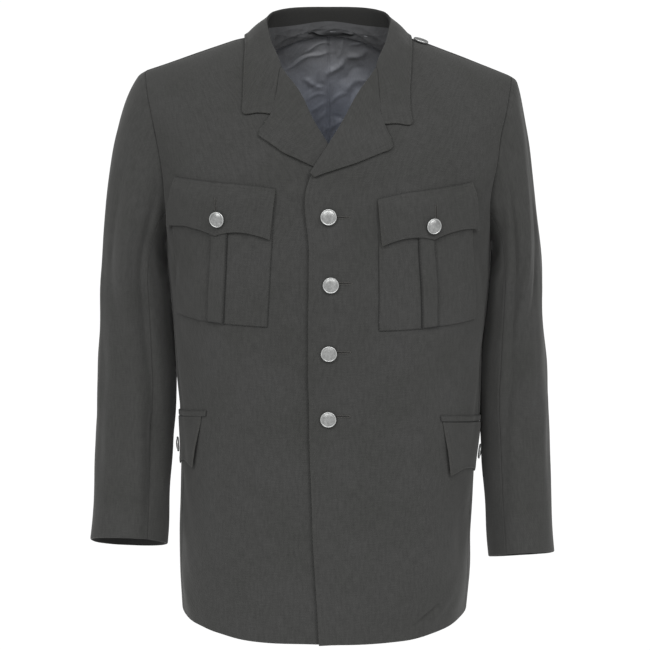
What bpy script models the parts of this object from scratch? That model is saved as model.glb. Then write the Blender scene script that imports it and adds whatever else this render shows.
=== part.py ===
"""Army uniform jacket in its worn shape, hollow, in metres and +Z up.

The front faces -Y and the wearer's left is +X. The origin is where the wearer's shoulders hold
the jacket: height 0 is where the shoulders meet the neck. Tables are in millimetres and degrees.
Every cloth piece is an open surface on a grid, given its wall by Solidify towards its good side.
"""

import math
from collections import namedtuple

import bpy
import numpy as np
from mathutils import Matrix, Vector

MM = 0.001
WALL = 2.0 * MM
FACING = 1.6 * MM
THIN = 1.2 * MM
SEAM = 0.4 * MM
LIFT = 0.8 * MM
LEFT, RIGHT = 1, -1
SIDE_NAMES = {LEFT: "left", RIGHT: "right"}

# Body of the jacket
HEM = -753 * MM
CHEST = -255 * MM
SHOULDER_SPREAD = 53 * MM
SQUARENESS = 2.35
RIDGE_Y = 12 * MM
NECK_HALF = 88 * MM
NECK_RISE = 45 * MM
NECK_DIP = -35 * MM
SHOULDER_SLOPE = {LEFT: 0.385, RIGHT: 0.345}
SIDE_SEAM = math.radians(76)
BACK_SEAM = math.radians(113)

# Outer sizes of the body at each height: half widths to each side, depths to front and back
Section = namedtuple("Section", "height right left front back")
SECTIONS = (
    Section(-753, 192.0, 180.0, 150, 137),
    Section(-708, 193.6, 183.4, 149, 134),
    Section(-642, 192.0, 184.5, 147, 128),
    Section(-557, 191.0, 190.0, 143, 115),
    Section(-480, 193.0, 195.6, 142, 106),
    Section(-391, 198.0, 199.0, 145, 107),
    Section(-322, 202.7, 205.0, 149, 115),
    Section(-255, 208.5, 207.5, 150, 123),
)

# Largest soft folds: the middle of each, its length, half width and lean in degrees, and depth
Fold = namedtuple("Fold", "angle height length width lean depth")
FOLDS = (
    Fold(-50, -450, 150, 9, 10, -2.0),
    Fold(52, -430, 140, 9, -12, -2.0),
    Fold(30, -690, 90, 9, 24, 3.0),
    Fold(-31, -660, 120, 10, -8, 2.0),
    Fold(86, -660, 130, 8, 4, 2.5),
    Fold(-84, -650, 150, 8, -4, 2.5),
    Fold(128, -620, 200, 9, -3, 4.5),
    Fold(-133, -600, 190, 8, 5, 4.0),
    Fold(160, -650, 150, 9, 4, 3.0),
    Fold(146, -330, 120, 8, 16, -3.5),
    Fold(-143, -300, 110, 8, -18, -3.5),
)

# Armhole seam: turn 0 on the shoulder, 90 in front, 180 under the arm, 270 behind
ARMHOLE_BOTTOM = -262 * MM
Armhole = namedtuple("Armhole", "turn angle")
ARMHOLE = (
    Armhole(0, 58.5),
    Armhole(45, 59.5),
    Armhole(90, 62.5),
    Armhole(135, 70.0),
    Armhole(180, 90.0),
    Armhole(225, 110.0),
    Armhole(270, 118.0),
    Armhole(315, 121.0),
    Armhole(360, 121.5),
)

# Front edge and, above the break at -158, roll line of each front: distance across the chest
Edge = namedtuple("Edge", "height left right")
FRONT_EDGES = (
    Edge(-753, -12.0, 24.0),
    Edge(-600, -20.0, 22.0),
    Edge(-440, -24.5, 21.0),
    Edge(-250, -24.0, 21.0),
    Edge(-158, -22.0, 20.0),
    Edge(-122, 1.5, -1.5),
    Edge(-89, 22.5, -22.5),
    Edge(-61, 39.5, -37.5),
    Edge(-30, 65.0, -64.5),
    Edge(-8, 82.0, -81.0),
    Edge(0, 90.0, -90.0),
)
BREAK = -158 * MM
LAP = 1.7 * MM
LAP_AT_BREAK = 2.0 * MM
LAP_WIDTH = 26 * MM
LAP_FADE = 50 * MM
LAP_ENDS = -115 * MM, -35 * MM
BREAK_MIDDLE, BREAK_LENGTH = -140 * MM, 45 * MM

# Sleeve sections, outer sizes: reach to the inner and outer side, front and back, and slants
Ring = namedtuple("Ring", "height inner outer front back pitch roll")
SLEEVES = {
    RIGHT: (
        Ring(-305, 207.0, 291.5, -76, 80, 0.00, 0.000),
        Ring(-350, 203.5, 294.5, -70, 75, 0.00, 0.000),
        Ring(-400, 200.5, 297.5, -65, 69, 0.00, 0.000),
        Ring(-470, 200.5, 301.0, -61, 57, 0.08, 0.000),
        Ring(-535, 204.5, 305.0, -64, 43, 0.20, 0.010),
        Ring(-600, 208.0, 307.5, -71, 26, 0.33, 0.030),
        Ring(-652, 210.5, 310.5, -79, 11, 0.42, 0.047),
    ),
    LEFT: (
        Ring(-305, 208.5, 272.0, -78, 82, 0.00, 0.000),
        Ring(-350, 205.5, 275.5, -73, 79, 0.00, 0.000),
        Ring(-405, 202.0, 281.5, -69, 73, 0.00, 0.000),
        Ring(-475, 201.5, 287.0, -65, 62, 0.07, 0.000),
        Ring(-545, 203.5, 290.5, -67, 48, 0.18, 0.020),
        Ring(-615, 207.5, 293.5, -74, 33, 0.28, 0.050),
        Ring(-670, 211.0, 295.5, -82, 21, 0.34, 0.070),
    ),
}
SLEEVE_SQUARENESS = 2.15
# Near the armhole the inner side of a sleeve is pressed flat against the body
PRESSED_FROM, PRESSED_TO = -540 * MM, -380 * MM
PRESSED_SQUARENESS = 2.8
PRESSED_TURN = 0.04
FRONT_SLEEVE_SEAM = 126
BACK_SLEEVE_SEAM = 232
SLEEVE_HEAD_RISE = 1.6 * MM
CAP_SHARE = 0.42
# Start of a sleeve: a point that it closes in on, its gap to the body's edge under the arm, less
# of it above and more of it behind, and the ways it leaves over the shoulder, aside and below
ARMHOLE_CENTRE = (200, 8, -150)
SLEEVE_GAP, LESS_ABOVE, MORE_BEHIND = 2.6 * MM, 1.5 * MM, 2.2 * MM
SLEEVE_HEADS = {RIGHT: (-130, 0, -150), LEFT: (50, 0, -140)}
SLEEVE_ASIDE, SLEEVE_AHEAD, SLEEVE_BELOW = (52, 0, -42), (0, -16, 0), (40, 0, 6)
CAP_ARRIVAL = 0.76

# Soft creases across a sleeve: the turn each is at, its drop below the armhole as a share of the
# sleeve, its half widths along both, and its depth
Crease = namedtuple("Crease", "turn drop turn_width drop_width lean depth")
SLEEVE_CREASES = {
    RIGHT: (
        Crease(96, 0.62, 24, 0.045, 0.10, -3.5),
        Crease(118, 0.74, 20, 0.040, 0.06, -3.0),
        Crease(60, 0.84, 14, 0.120, -0.05, 2.0),
        Crease(262, 0.55, 26, 0.050, -0.08, -3.5),
        Crease(140, 0.25, 18, 0.090, 0.12, -3.0),
        Crease(20, 0.30, 16, 0.140, 0.02, 2.0),
    ),
    LEFT: (
        Crease(100, 0.60, 22, 0.045, 0.08, -3.5),
        Crease(84, 0.72, 24, 0.040, 0.10, -3.0),
        Crease(48, 0.80, 14, 0.130, -0.04, 2.0),
        Crease(250, 0.57, 26, 0.050, -0.10, -3.5),
        Crease(136, 0.22, 18, 0.090, 0.10, -3.0),
        Crease(10, 0.34, 16, 0.150, 0.03, 2.0),
    ),
}

# Collar from the gorge seam in front round to the centre back, on the left side: where the stand
# starts and where the collar folds over. The last row is shared by both sides.
Neck = namedtuple("Neck", "base_x base_y base_z fold_x fold_y fold_z")
COLLAR_NECK = (
    Neck(63.0, -61.0, -33.0, 60.0, -67.0, -31.0),
    Neck(64.0, -56.5, -28.5, 61.0, -63.0, -26.0),
    Neck(68.0, -48.5, -22.0, 64.5, -54.5, -19.0),
    Neck(72.0, -38.5, -16.5, 68.5, -43.0, -11.5),
    Neck(76.5, -26.0, -11.5, 72.5, -29.0, -4.5),
    Neck(80.5, -6.0, -2.0, 76.5, -6.0, 9.0),
    Neck(83.0, 16.0, 6.0, 77.5, 18.0, 19.5),
    Neck(72.5, 45.5, 5.0, 69.0, 48.0, 26.5),
    Neck(43.5, 71.5, 4.5, 42.0, 71.0, 29.5),
    Neck(0.0, 82.0, 7.0, 0.0, 80.0, 29.5),
)
# Stations behind the shoulder, of which there are more where the neck turns
COLLAR_STATIONS = (4.5, 5.0, 5.25, 5.5, 5.75, 6.0, 6.25, 6.5, 6.75, 7.0, 7.5, 8.0, 8.5, 9.0)
# Roundness of the fold, how far the fall bulges, and how far each of its rows clears the body
FOLD_DEPTH, STAND_ASIDE, FALL_ASIDE = 3 * MM, 1.3 * MM, 1.5 * MM
FALL_BULGE = 16 * MM
FALL_ROWS = (0.2, 0.4, 0.6, 0.8, 1.0)
FALL_LIFTS = (2.2, 2.2, 2.0, 1.7, 1.5, 1.3)
# Outer edge of the collar's fall at the same stations
Fall = namedtuple("Fall", "angle height")
COLLAR_FALL = {
    RIGHT: (
        Fall(16.9, -83.6),
        Fall(20.8, -83.2),
        Fall(25.0, -81.6),
        Fall(24.6, -62.0),
        Fall(24.0, -42.7),
        Fall(23.0, -10.0),
        Fall(157.0, -1.0),
        Fall(161.0, -15.0),
        Fall(168.5, -39.0),
        Fall(180.0, -52.0),
    ),
    LEFT: (
        Fall(16.6, -95.2),
        Fall(20.2, -95.6),
        Fall(24.5, -94.0),
        Fall(23.8, -76.0),
        Fall(23.2, -55.0),
        Fall(23.0, -15.0),
        Fall(157.5, -1.0),
        Fall(161.0, -15.0),
        Fall(168.5, -39.0),
        Fall(180.0, -52.0),
    ),
}

# Outer edge of each lapel, from the notch to the break: share of the roll line each is opposite
Lapel = namedtuple("Lapel", "share angle height")
LAPELS = {
    RIGHT: (
        Lapel(0.00, 15.3, -86.9),
        Lapel(0.13, 20.7, -107.4),
        Lapel(0.18, 20.2, -111.2),
        Lapel(0.45, 13.8, -128.9),
        Lapel(0.75, 4.8, -144.6),
        Lapel(1.00, -3.4, -157.8),
    ),
    LEFT: (
        Lapel(0.00, 14.4, -98.9),
        Lapel(0.13, 19.4, -120.0),
        Lapel(0.18, 18.6, -126.0),
        Lapel(0.50, 9.0, -141.0),
        Lapel(0.85, -2.2, -154.6),
        Lapel(1.00, -4.9, -158.4),
    ),
}
GORGE_TOP = -36 * MM
# Across the roll line, in millimetres past the front's edge and out from it: where the lapel wraps
# the edge, and lower down where it lies beside it. Then shares of the way out, and levels there
LAPEL_WRAP = ((-7.0, -0.8), (0.3, -0.8), (1.7, 1.0), (0.4, 3.4))
LAPEL_BESIDE = ((0.9, 0.2), (1.1, 0.9), (1.5, 1.8), (0.4, 3.2))
LAPEL_ROWS = ((0.12, 3.0), (0.3, 2.8), (0.5, 2.5), (0.7, 2.3), (0.86, 2.1), (1.0, 1.7))
# Shares of the roll line between which the lapel stops wrapping the edge, and stops turning in
WRAP_ENDS, TURN_ENDS = (0.34, 0.48), (0.46, 0.66)
# The right lapel lies flatter from the first of these shares on, where the left front covers it
FLATTER, FLATTER_FROM = 0.6, (0.6, 0.8)
LAPEL_COLUMNS = (0.0, 0.065, 0.13, 0.18, 0.27, 0.36, 0.45, 0.55, 0.65, 0.75, 0.85, 0.97)

# Chest pockets: angles of the inner and outer edge at the top and bottom, and their heights
Pocket = namedtuple("Pocket", "inner_top outer_top inner_low outer_low top_in top_out low_in low_out")
CHEST_POCKETS = {
    RIGHT: Pocket(17.5, 59.5, 21.5, 67.0, -188, -178, -343.5, -342.0),
    LEFT: Pocket(16.3, 52.5, 17.5, 60.0, -196, -186, -348.0, -346.5),
}
CHEST_FLAPS = {
    RIGHT: Pocket(16.8, 54.0, 19.4, 65.2, -172, -150, -234.0, -225.5),
    LEFT: Pocket(15.6, 49.5, 17.6, 57.2, -184, -157, -242.0, -227.5),
}
HIP_FLAPS = {
    RIGHT: Pocket(50.5, 107.0, 59.0, 112.0, -469.5, -500.0, -539.5, -566.0),
    LEFT: Pocket(43.6, 101.0, 49.6, 106.0, -472.5, -504.0, -544.5, -570.0),
}
HIP_JET_HEIGHT = 9 * MM
# Shares of a pocket's width and height that its pleat takes, and steps of a chest flap
PLEAT_FROM, PLEAT_TO = 0.355, 0.525
PLEAT_LOW, PLEAT_HIGH = 0.006, 0.986
FLAP_LEVEL = 3.0 * MM
FLAP_STEP = 3.7 * MM
STEP_SHARE = 0.24
SCALLOP = 7 * MM
SCALLOP_CURVE = 0.8
JET_INSET, JET_GAP = 0.5, 1.0

# Lining inside the upper back, and the loop under the collar
LINING_EDGE = math.radians(122)
LINING_BOTTOM = -330 * MM
LINING_TOP = -18 * MM
LINING_INSET, DEEPER_ABOVE = 3.3, 3.0
LINING_ROWS = 0.8
LOOP_FROM, LOOP_TO = 36 * MM, -29 * MM
LOOP_WIDTH = 8 * MM
LOOP_DROP = 2.5 * MM
LOOP_INSET = 8.4 * MM
LOOP_BOW = 3 * MM

# Metal buttons: angle and height on the body, wearer's left positive
BUTTON = 20 * MM
SMALL_BUTTON = 19.5 * MM
BUTTON_STEPS = 14
# Shares of the radius and rises as shares of the size, from the domed middle over the rim
BUTTON_OUTLINE = (
    (0.0, 0.22),
    (0.45, 0.2),
    (0.76, 0.145),
    (0.84, 0.17),
    (0.97, 0.14),
    (1.0, 0.06),
    (0.9, 0.0),
    (0.0, 0.0),
)
Button = namedtuple("Button", "name angle height side level size")
BUTTONS = (
    Button("front_button_1", 0.0, -205, LEFT, 2.7, BUTTON),
    Button("front_button_2", 0.7, -289, LEFT, 2.7, BUTTON),
    Button("front_button_3", 0.1, -375, LEFT, 2.7, BUTTON),
    Button("front_button_4", 0.0, -460, LEFT, 2.7, BUTTON),
    Button("chest_button_right", -36.6, -208, RIGHT, 9.1, SMALL_BUTTON),
    Button("chest_button_left", 34.6, -216.5, LEFT, 9.1, SMALL_BUTTON),
    Button("hip_button_right", -82.0, -524, RIGHT, 5.0, SMALL_BUTTON),
    Button("hip_button_left", 79.0, -531, LEFT, 5.0, SMALL_BUTTON),
    Button("shoulder_button_left", 25.5, -0.6, LEFT, 2.5, SMALL_BUTTON),
)

# Colour, roughness and metallic value of each finish
Finish = namedtuple("Finish", "colour roughness metallic")
FINISHES = {
    "Grey wool gabardine": Finish((0.058, 0.058, 0.056), 0.90, 0.0),
    "Blue-grey lining": Finish((0.055, 0.062, 0.078), 0.55, 0.0),
    "Silver-grey metal": Finish((0.36, 0.37, 0.36), 0.38, 1.0),
}
WOOL, LINING, METAL = FINISHES


def smooth(knots, values, at):
    """Cubic curve through the values at the knots, with slopes taken from the neighbours."""
    knots, values = np.asarray(knots, float), np.asarray(values, float)
    slopes = np.gradient(values, knots, axis=0)
    at = np.clip(at, knots[0], knots[-1])
    i = np.clip(np.searchsorted(knots, at, side="right") - 1, 0, len(knots) - 2)
    gap = knots[i + 1] - knots[i]
    t = (at - knots[i]) / gap
    lined_up = gap.shape + (1,) * (values.ndim - 1)
    gap, t = gap.reshape(lined_up), t.reshape(lined_up)
    start, end = values[i], values[i + 1]
    leave, arrive = slopes[i] * gap, slopes[i + 1] * gap
    bend = t * t * (3 * (end - start) - 2 * leave - arrive)
    return start + t * leave + bend + t**3 * (2 * (start - end) + leave + arrive)


def column(rows, name, scale=MM):
    return np.array([getattr(row, name) for row in rows]) * scale


def step_up(value, start, end):
    """0 below start, 1 above end, and a smooth rise between them."""
    t = np.clip((value - start) / (end - start), 0, 1)
    return t * t * (3 - 2 * t)


def unit(vectors):
    return vectors / np.maximum(np.linalg.norm(vectors, axis=-1, keepdims=True), 1e-12)


def ridge(x, behind):
    """Height of the shoulder line: level at the neck, then sloping. It rises behind the neck."""
    slope = np.where(x > 0, SHOULDER_SLOPE[LEFT], SHOULDER_SLOPE[RIGHT])
    past = np.abs(x) - NECK_HALF
    fall = slope * (past + np.sqrt(past**2 + (12 * MM) ** 2)) / 2
    return NECK_RISE * np.clip(1 - (x / NECK_HALF) ** 2, 0, None) ** 2 * behind - fall


def half_width(side, height):
    low = np.minimum(height, CHEST)
    up = np.clip(1 - height / CHEST, 0, 1)
    heights = column(SECTIONS, "height")
    left = smooth(heights, column(SECTIONS, "left"), low)
    right = smooth(heights, column(SECTIONS, "right"), low)
    return np.where(side > 0, left, right) - WALL + SHOULDER_SPREAD * up**1.3


def fold_depth(angle, height):
    """How far the folds stand out: each one is a soft hump along a slanted line."""
    total = 0
    for fold in FOLDS:
        along = (height - fold.height * MM) / (fold.length * MM / 2)
        middle = fold.angle + fold.lean * along / 2
        off = (np.degrees(angle) - middle + 180) % 360 - 180
        total = total + fold.depth * MM * np.exp(-((off / fold.width) ** 2) - along**2)
    return total


def torso(angle, height):
    """Inner face of the body: below the chest a superellipse ring at each height, above it the
    same ring drawn in to the shoulder line along a quarter superellipse. Angle 0 is the centre
    front, positive to the left and 180 degrees behind."""
    angle, height = np.broadcast_arrays(np.asarray(angle, float), np.asarray(height, float))
    up = np.clip(1 - height / CHEST, 0, 1)
    low = np.minimum(height, CHEST)
    sine, cosine = np.sin(angle), np.cos(angle)
    reach = (np.abs(sine) ** SQUARENESS + np.abs(cosine) ** SQUARENESS) ** (1 / SQUARENESS)
    heights = column(SECTIONS, "height")
    behind = cosine < 0
    front = smooth(heights, column(SECTIONS, "front"), low)
    back = smooth(heights, column(SECTIONS, "back"), low)
    depth = (np.where(behind, back, front) - WALL) * cosine / reach
    curl = np.clip(1 - up**2.4, 0, 1) ** np.where(behind, 1 / 2.5, 1 / 1.8)
    stand_out = fold_depth(angle, height)
    x = sine / reach * half_width(np.sign(sine), height)
    y = RIDGE_Y * (1 - curl) - depth * curl
    z = np.where(up > 0, CHEST + (ridge(x, behind) - CHEST) * up, height)
    return np.stack([x + stand_out * sine, y - stand_out * cosine, z], -1)


def torso_normal(angle, height):
    """Outward direction: the cross product of short steps round the body and up it."""
    turn, rise = math.radians(0.2), 0.5 * MM
    across = torso(angle + turn, height) - torso(angle - turn, height)
    top = np.minimum(height + rise, 0)
    upward = torso(angle, top) - torso(angle, top - 2 * rise)
    return unit(np.cross(across, upward))


def angle_at(x, height):
    """Angle on the front of the body at a distance across it."""
    across = np.clip(x / half_width(np.sign(x), height), -1, 1)
    deep = (1 - np.abs(across) ** SQUARENESS) ** (1 / SQUARENESS)
    return np.arctan2(across, deep)


def lap(angle, height, side):
    """Offset that parts the two fronts where the left one laps over the right one."""
    x = torso(angle, height)[..., 0]
    width = 1 - step_up(np.abs(x), LAP_WIDTH, LAP_WIDTH + LAP_FADE)
    below_neck = 1 - step_up(height, *LAP_ENDS)
    near_break = np.exp(-(((height - BREAK_MIDDLE) / BREAK_LENGTH) ** 2))
    return side * width * below_neck * (LAP + LAP_AT_BREAK * near_break)


def body(angle, height, level=0.0, side=0):
    """Point on the inner face of the body, or that far outside it. A side adds its front's lap."""
    offset = level + (lap(angle, height, side) if side else 0)
    return torso(angle, height) + torso_normal(angle, height) * np.asarray(offset)[..., None]


def levels(count_low, count_high, bottom=HEM, top=0.0):
    """Heights of the rows: even up to the chest, then closer towards the shoulder line."""
    low = np.linspace(bottom, CHEST, count_low)
    limit = math.asin(min(1.0, (1 - top / CHEST) ** 1.2))
    high = CHEST * (1 - np.sin(np.linspace(0, limit, count_high)) ** (1 / 1.2))
    return np.concatenate([low, high[1:]])


def armhole_turn(height, behind=False):
    """Turn along the armhole seam at a height."""
    turn = np.degrees(np.arccos(np.clip(1 - 2 * height / ARMHOLE_BOTTOM, -1, 1)))
    return 360 - turn if behind else turn


def armhole(turn):
    """Angle and height of the armhole seam on the body."""
    turn = np.where(turn < 0, turn + 360, turn)
    angle = smooth(column(ARMHOLE, "turn", 1), column(ARMHOLE, "angle", 1), turn)
    height = ARMHOLE_BOTTOM * (1 - np.cos(np.radians(turn))) / 2
    return np.radians(angle), height


def outer_edge(height):
    """Angle of a front's outer edge: side seam, then armhole."""
    angle = armhole(armhole_turn(height))[0]
    return np.where(height < ARMHOLE_BOTTOM, SIDE_SEAM, np.minimum(angle, SIDE_SEAM))


def back_edge(height):
    angle = armhole(armhole_turn(height, behind=True))[0]
    return np.where(height < ARMHOLE_BOTTOM, BACK_SEAM, np.maximum(angle, BACK_SEAM))


def front_edge(height, side):
    edge = smooth(column(FRONT_EDGES, "height"), column(FRONT_EDGES, SIDE_NAMES[side]), height)
    return angle_at(edge, height)


def between(start, end, count):
    """Columns evenly from one edge of a panel to the other."""
    share = np.linspace(0, 1, count)
    return start[:, None] + (end - start)[:, None] * share


def draw_in(grid, gap=SEAM / 2, edges="lrt"):
    """Moves edge points towards their inner neighbours, to leave half a seam's gap."""
    grid = grid.copy()
    if "l" in edges:
        grid[:, 0] += unit(grid[:, 1] - grid[:, 0]) * gap
    if "r" in edges:
        grid[:, -1] += unit(grid[:, -2] - grid[:, -1]) * gap
    if "t" in edges:
        grid[-1] += unit(grid[-2] - grid[-1]) * gap
    if "b" in edges:
        grid[0] += unit(grid[1] - grid[0]) * gap
    return grid


def make_material(name):
    finish = FINISHES[name]
    material = bpy.data.materials.new(name)
    material.use_nodes = True
    shader = material.node_tree.nodes["Principled BSDF"]
    shader.inputs["Base Color"].default_value = (*finish.colour, 1)
    shader.inputs["Roughness"].default_value = finish.roughness
    shader.inputs["Metallic"].default_value = finish.metallic
    return material


def add_piece(name, points, faces, finish, materials, collection):
    mesh = bpy.data.meshes.new(name)
    mesh.from_pydata(points, [], faces)
    mesh.materials.append(materials[finish])
    mesh.shade_smooth()
    faces_at_edge = np.zeros(len(mesh.edges), int)
    np.add.at(faces_at_edge, [loop.edge_index for loop in mesh.loops], 1)
    mesh.attributes.new("sharp_edge", "BOOLEAN", "EDGE").data.foreach_set("value", faces_at_edge == 1)
    piece = bpy.data.objects.new(name, mesh)
    collection.objects.link(piece)
    return piece


def add_cloth(name, grid, scene, wall=WALL, finish=WOOL, mirror=False):
    """Cloth wall on a grid of points, rows by columns. Its good side is where a step along the
    columns crossed with a step along the rows points."""
    if mirror:
        grid = grid[:, ::-1]
    rows, columns = grid.shape[:2]
    index = np.arange(rows * columns).reshape(rows, columns)
    faces = np.stack([index[:-1, :-1], index[:-1, 1:], index[1:, 1:], index[1:, :-1]], -1)
    points = grid.reshape(-1, 3).tolist()
    piece = add_piece(name, points, faces.reshape(-1, 4).tolist(), finish, *scene)
    shell = piece.modifiers.new("Wall", "SOLIDIFY")
    shell.thickness = wall
    shell.offset = 1.0
    return piece


def make_fronts(scene):
    heights = levels(17, 13)
    for side in (LEFT, RIGHT):
        angles = between(front_edge(heights, side), side * outer_edge(heights), 13)
        grid = draw_in(body(angles, heights[:, None], side=side))
        add_cloth(f"front_{SIDE_NAMES[side]}", grid, scene, mirror=side == RIGHT)


def make_sides(scene):
    turns = np.linspace(armhole_turn_of_seam(SIDE_SEAM), armhole_turn_of_seam(BACK_SEAM), 6)
    angles, tops = armhole(turns)
    share = np.linspace(0, 1, 17)[:, None]
    heights = HEM + (tops - HEM)[None, :] * share
    for side in (LEFT, RIGHT):
        lean = np.linspace(SIDE_SEAM, BACK_SEAM, 6)
        spread = lean + (angles - lean) * step_up(share, 0.75, 1.0)
        grid = draw_in(body(side * spread, heights))
        add_cloth(f"side_{SIDE_NAMES[side]}", grid, scene, mirror=side == RIGHT)


def armhole_turn_of_seam(seam):
    """Turn at which the armhole crosses a seam's angle."""
    turns = np.linspace(100, 260, 1601)
    return float(np.interp(seam, armhole(turns)[0], turns))


def neck_curve(x):
    """Height of the back neck seam on the body."""
    return NECK_DIP * np.clip(1 - (x / NECK_HALF) ** 2, 0, None) ** 1.6


def make_backs(scene):
    columns = 10
    for side in (LEFT, RIGHT):
        share = np.linspace(0, 1, columns)
        top_angle = armhole(np.array(360.0))[0]
        tops = top_angle + (math.pi - top_angle) * share
        top_heights = neck_curve(body(tops, 0 * tops)[:, 0])
        heights = np.stack([levels(15, 12, top=top) for top in top_heights], 1)
        edge = back_edge(heights)
        angles = edge + (math.pi - edge) * share
        grid = draw_in(body(side * angles, heights))
        add_cloth(f"back_{SIDE_NAMES[side]}", grid, scene, mirror=side == RIGHT)


def ring_points(side, turn, height):
    """Points round the sleeve: a superellipse whose plane slants with pitch and roll. Near the
    armhole its inner half is squarer."""
    rows = SLEEVES[side][::-1]
    heights = column(rows, "height")
    inner, outer, front, back = (
        smooth(heights, column(rows, name), height) for name in ("inner", "outer", "front", "back")
    )
    pitch = smooth(heights, column(rows, "pitch", 1), height)
    roll = smooth(heights, column(rows, "roll", 1), height)
    middle_x, middle_y = (inner + outer) / 2, (front + back) / 2
    sine, cosine = np.sin(np.radians(turn)), np.cos(np.radians(turn))
    pressed = step_up(height, PRESSED_FROM, PRESSED_TO)
    power = SLEEVE_SQUARENESS + PRESSED_SQUARENESS * pressed * (cosine < 0)
    reach = (np.abs(sine) ** power + np.abs(cosine) ** power) ** (1 / power)
    ahead = sine / reach * ((back - front) / 2 - WALL)
    across = cosine / reach * ((outer - inner) / 2 - WALL) + PRESSED_TURN * pressed * ahead
    z = height + pitch * ahead + roll * across
    return np.stack([side * (middle_x + across), middle_y - ahead, z], -1)


def sleeve_top(side, turn):
    """First points of the sleeve along the armhole, just clear of the body's edge."""
    angle, height = armhole(turn)
    edge = body(side * angle, height)
    centre = np.array(ARMHOLE_CENTRE) * (side, 1, 1) * MM
    across = unit(centre - edge)
    top = np.cos(np.radians(turn))
    head = SLEEVE_HEAD_RISE * step_up(top, 0.2, 1.0)
    behind = np.clip(-np.sin(np.radians(turn)), 0, 1)
    gap = SLEEVE_GAP - LESS_ABOVE * top + MORE_BEHIND * behind
    out = torso_normal(side * angle, height)
    return edge + across * gap[..., None] + out * head[..., None]


def sleeve_heading(side, turn):
    """How the sleeve leaves the armhole: over the shoulder, sideways, or just past the edge."""
    top = np.cos(np.radians(turn))[..., None]
    ahead = np.sin(np.radians(turn))[..., None]
    over, under = np.clip(top, 0, 1) ** 1.5, np.clip(-top, 0, 1) ** 1.5
    flip = np.array([side, 1, 1])
    sideways = SLEEVE_ASIDE * flip + ahead * SLEEVE_AHEAD
    past = SLEEVE_BELOW * flip
    shoulder = np.array(SLEEVE_HEADS[side])
    return (over * shoulder + under * past + (1 - over - under) * sideways) * MM


def sleeve_creases(side, turn, drop):
    total = 0
    for crease in SLEEVE_CREASES[side]:
        off = (turn - crease.turn + 180) % 360 - 180
        along = (drop - crease.drop - crease.lean * off / 90) / crease.drop_width
        total = total + crease.depth * MM * np.exp(-((off / crease.turn_width) ** 2) - along**2)
    return total


def sleeve(side, turn, drop):
    """Point on the sleeve. The first share of the drop bends from the armhole to the first ring
    as a cubic, and the rest follows the rings to the cuff."""
    rows = SLEEVES[side]
    first, last = rows[0].height * MM, rows[-1].height * MM
    t = np.clip(drop / CAP_SHARE, 0, 1)[..., None]
    below = np.clip((drop - CAP_SHARE) / (1 - CAP_SHARE), 0, 1)
    start, end = sleeve_top(side, turn), ring_points(side, turn, first + 0 * turn)
    under = ring_points(side, turn, first - 1 * MM + 0 * turn) - end
    pull = np.linalg.norm(end - start, axis=-1, keepdims=True)
    leave, arrive = sleeve_heading(side, turn), unit(under) * pull * CAP_ARRIVAL
    cap = (
        (1 + 2 * t) * (1 - t) ** 2 * start
        + t * (1 - t) ** 2 * leave
        + t * t * (3 - 2 * t) * end
        + t * t * (t - 1) * arrive
    )
    rings = ring_points(side, turn, first + (last - first) * below)
    point = np.where(t < 1, cap, rings)
    around = np.radians(turn)
    out = np.stack([side * np.cos(around), -np.sin(around), 0 * around], -1)
    return point + out * np.asarray(sleeve_creases(side, turn, drop))[..., None]


def make_sleeves(scene):
    drops = np.concatenate([np.linspace(0, CAP_SHARE, 9), np.linspace(CAP_SHARE, 1, 13)[1:]])[:, None]
    pieces = {
        "top": (BACK_SLEEVE_SEAM - 360, FRONT_SLEEVE_SEAM, 14),
        "under": (FRONT_SLEEVE_SEAM, BACK_SLEEVE_SEAM, 8),
    }
    for side in (LEFT, RIGHT):
        for name, (start, end, count) in pieces.items():
            turns = np.linspace(start, end, count)[None, :]
            turn, drop = np.broadcast_arrays(turns, drops)
            grid = draw_in(sleeve(side, turn, drop), edges="lr")
            add_cloth(f"sleeve_{SIDE_NAMES[side]}_{name}", grid, scene, mirror=side == RIGHT)


def cloud():
    """Close points on the outer face of the body round the neck, with their normals."""
    angles = np.radians(np.concatenate([np.arange(5, 80, 1.5), np.arange(100, 180.1, 1.5)]))
    heights = CHEST * (1 - np.sin(np.linspace(0.3, math.pi / 2, 60)) ** (1 / 1.2))
    angle, height = np.meshgrid(np.concatenate([-angles, angles]), heights)
    normal = torso_normal(angle, height)
    points = torso(angle, height) + normal * WALL
    return points.reshape(-1, 3), normal.reshape(-1, 3)


def keep_clear(points, gap, around):
    """Moves points out along the body's normal until they are that far from its outer face."""
    surface, normals = around
    flat = points.reshape(-1, 3)
    nearest = ((flat[:, None] - surface[None]) ** 2).sum(-1).argmin(1)
    height = ((flat - surface[nearest]) * normals[nearest]).sum(-1)
    push = np.clip(gap - height, 0, None)
    return (flat + normals[nearest] * push[:, None]).reshape(points.shape)


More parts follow.
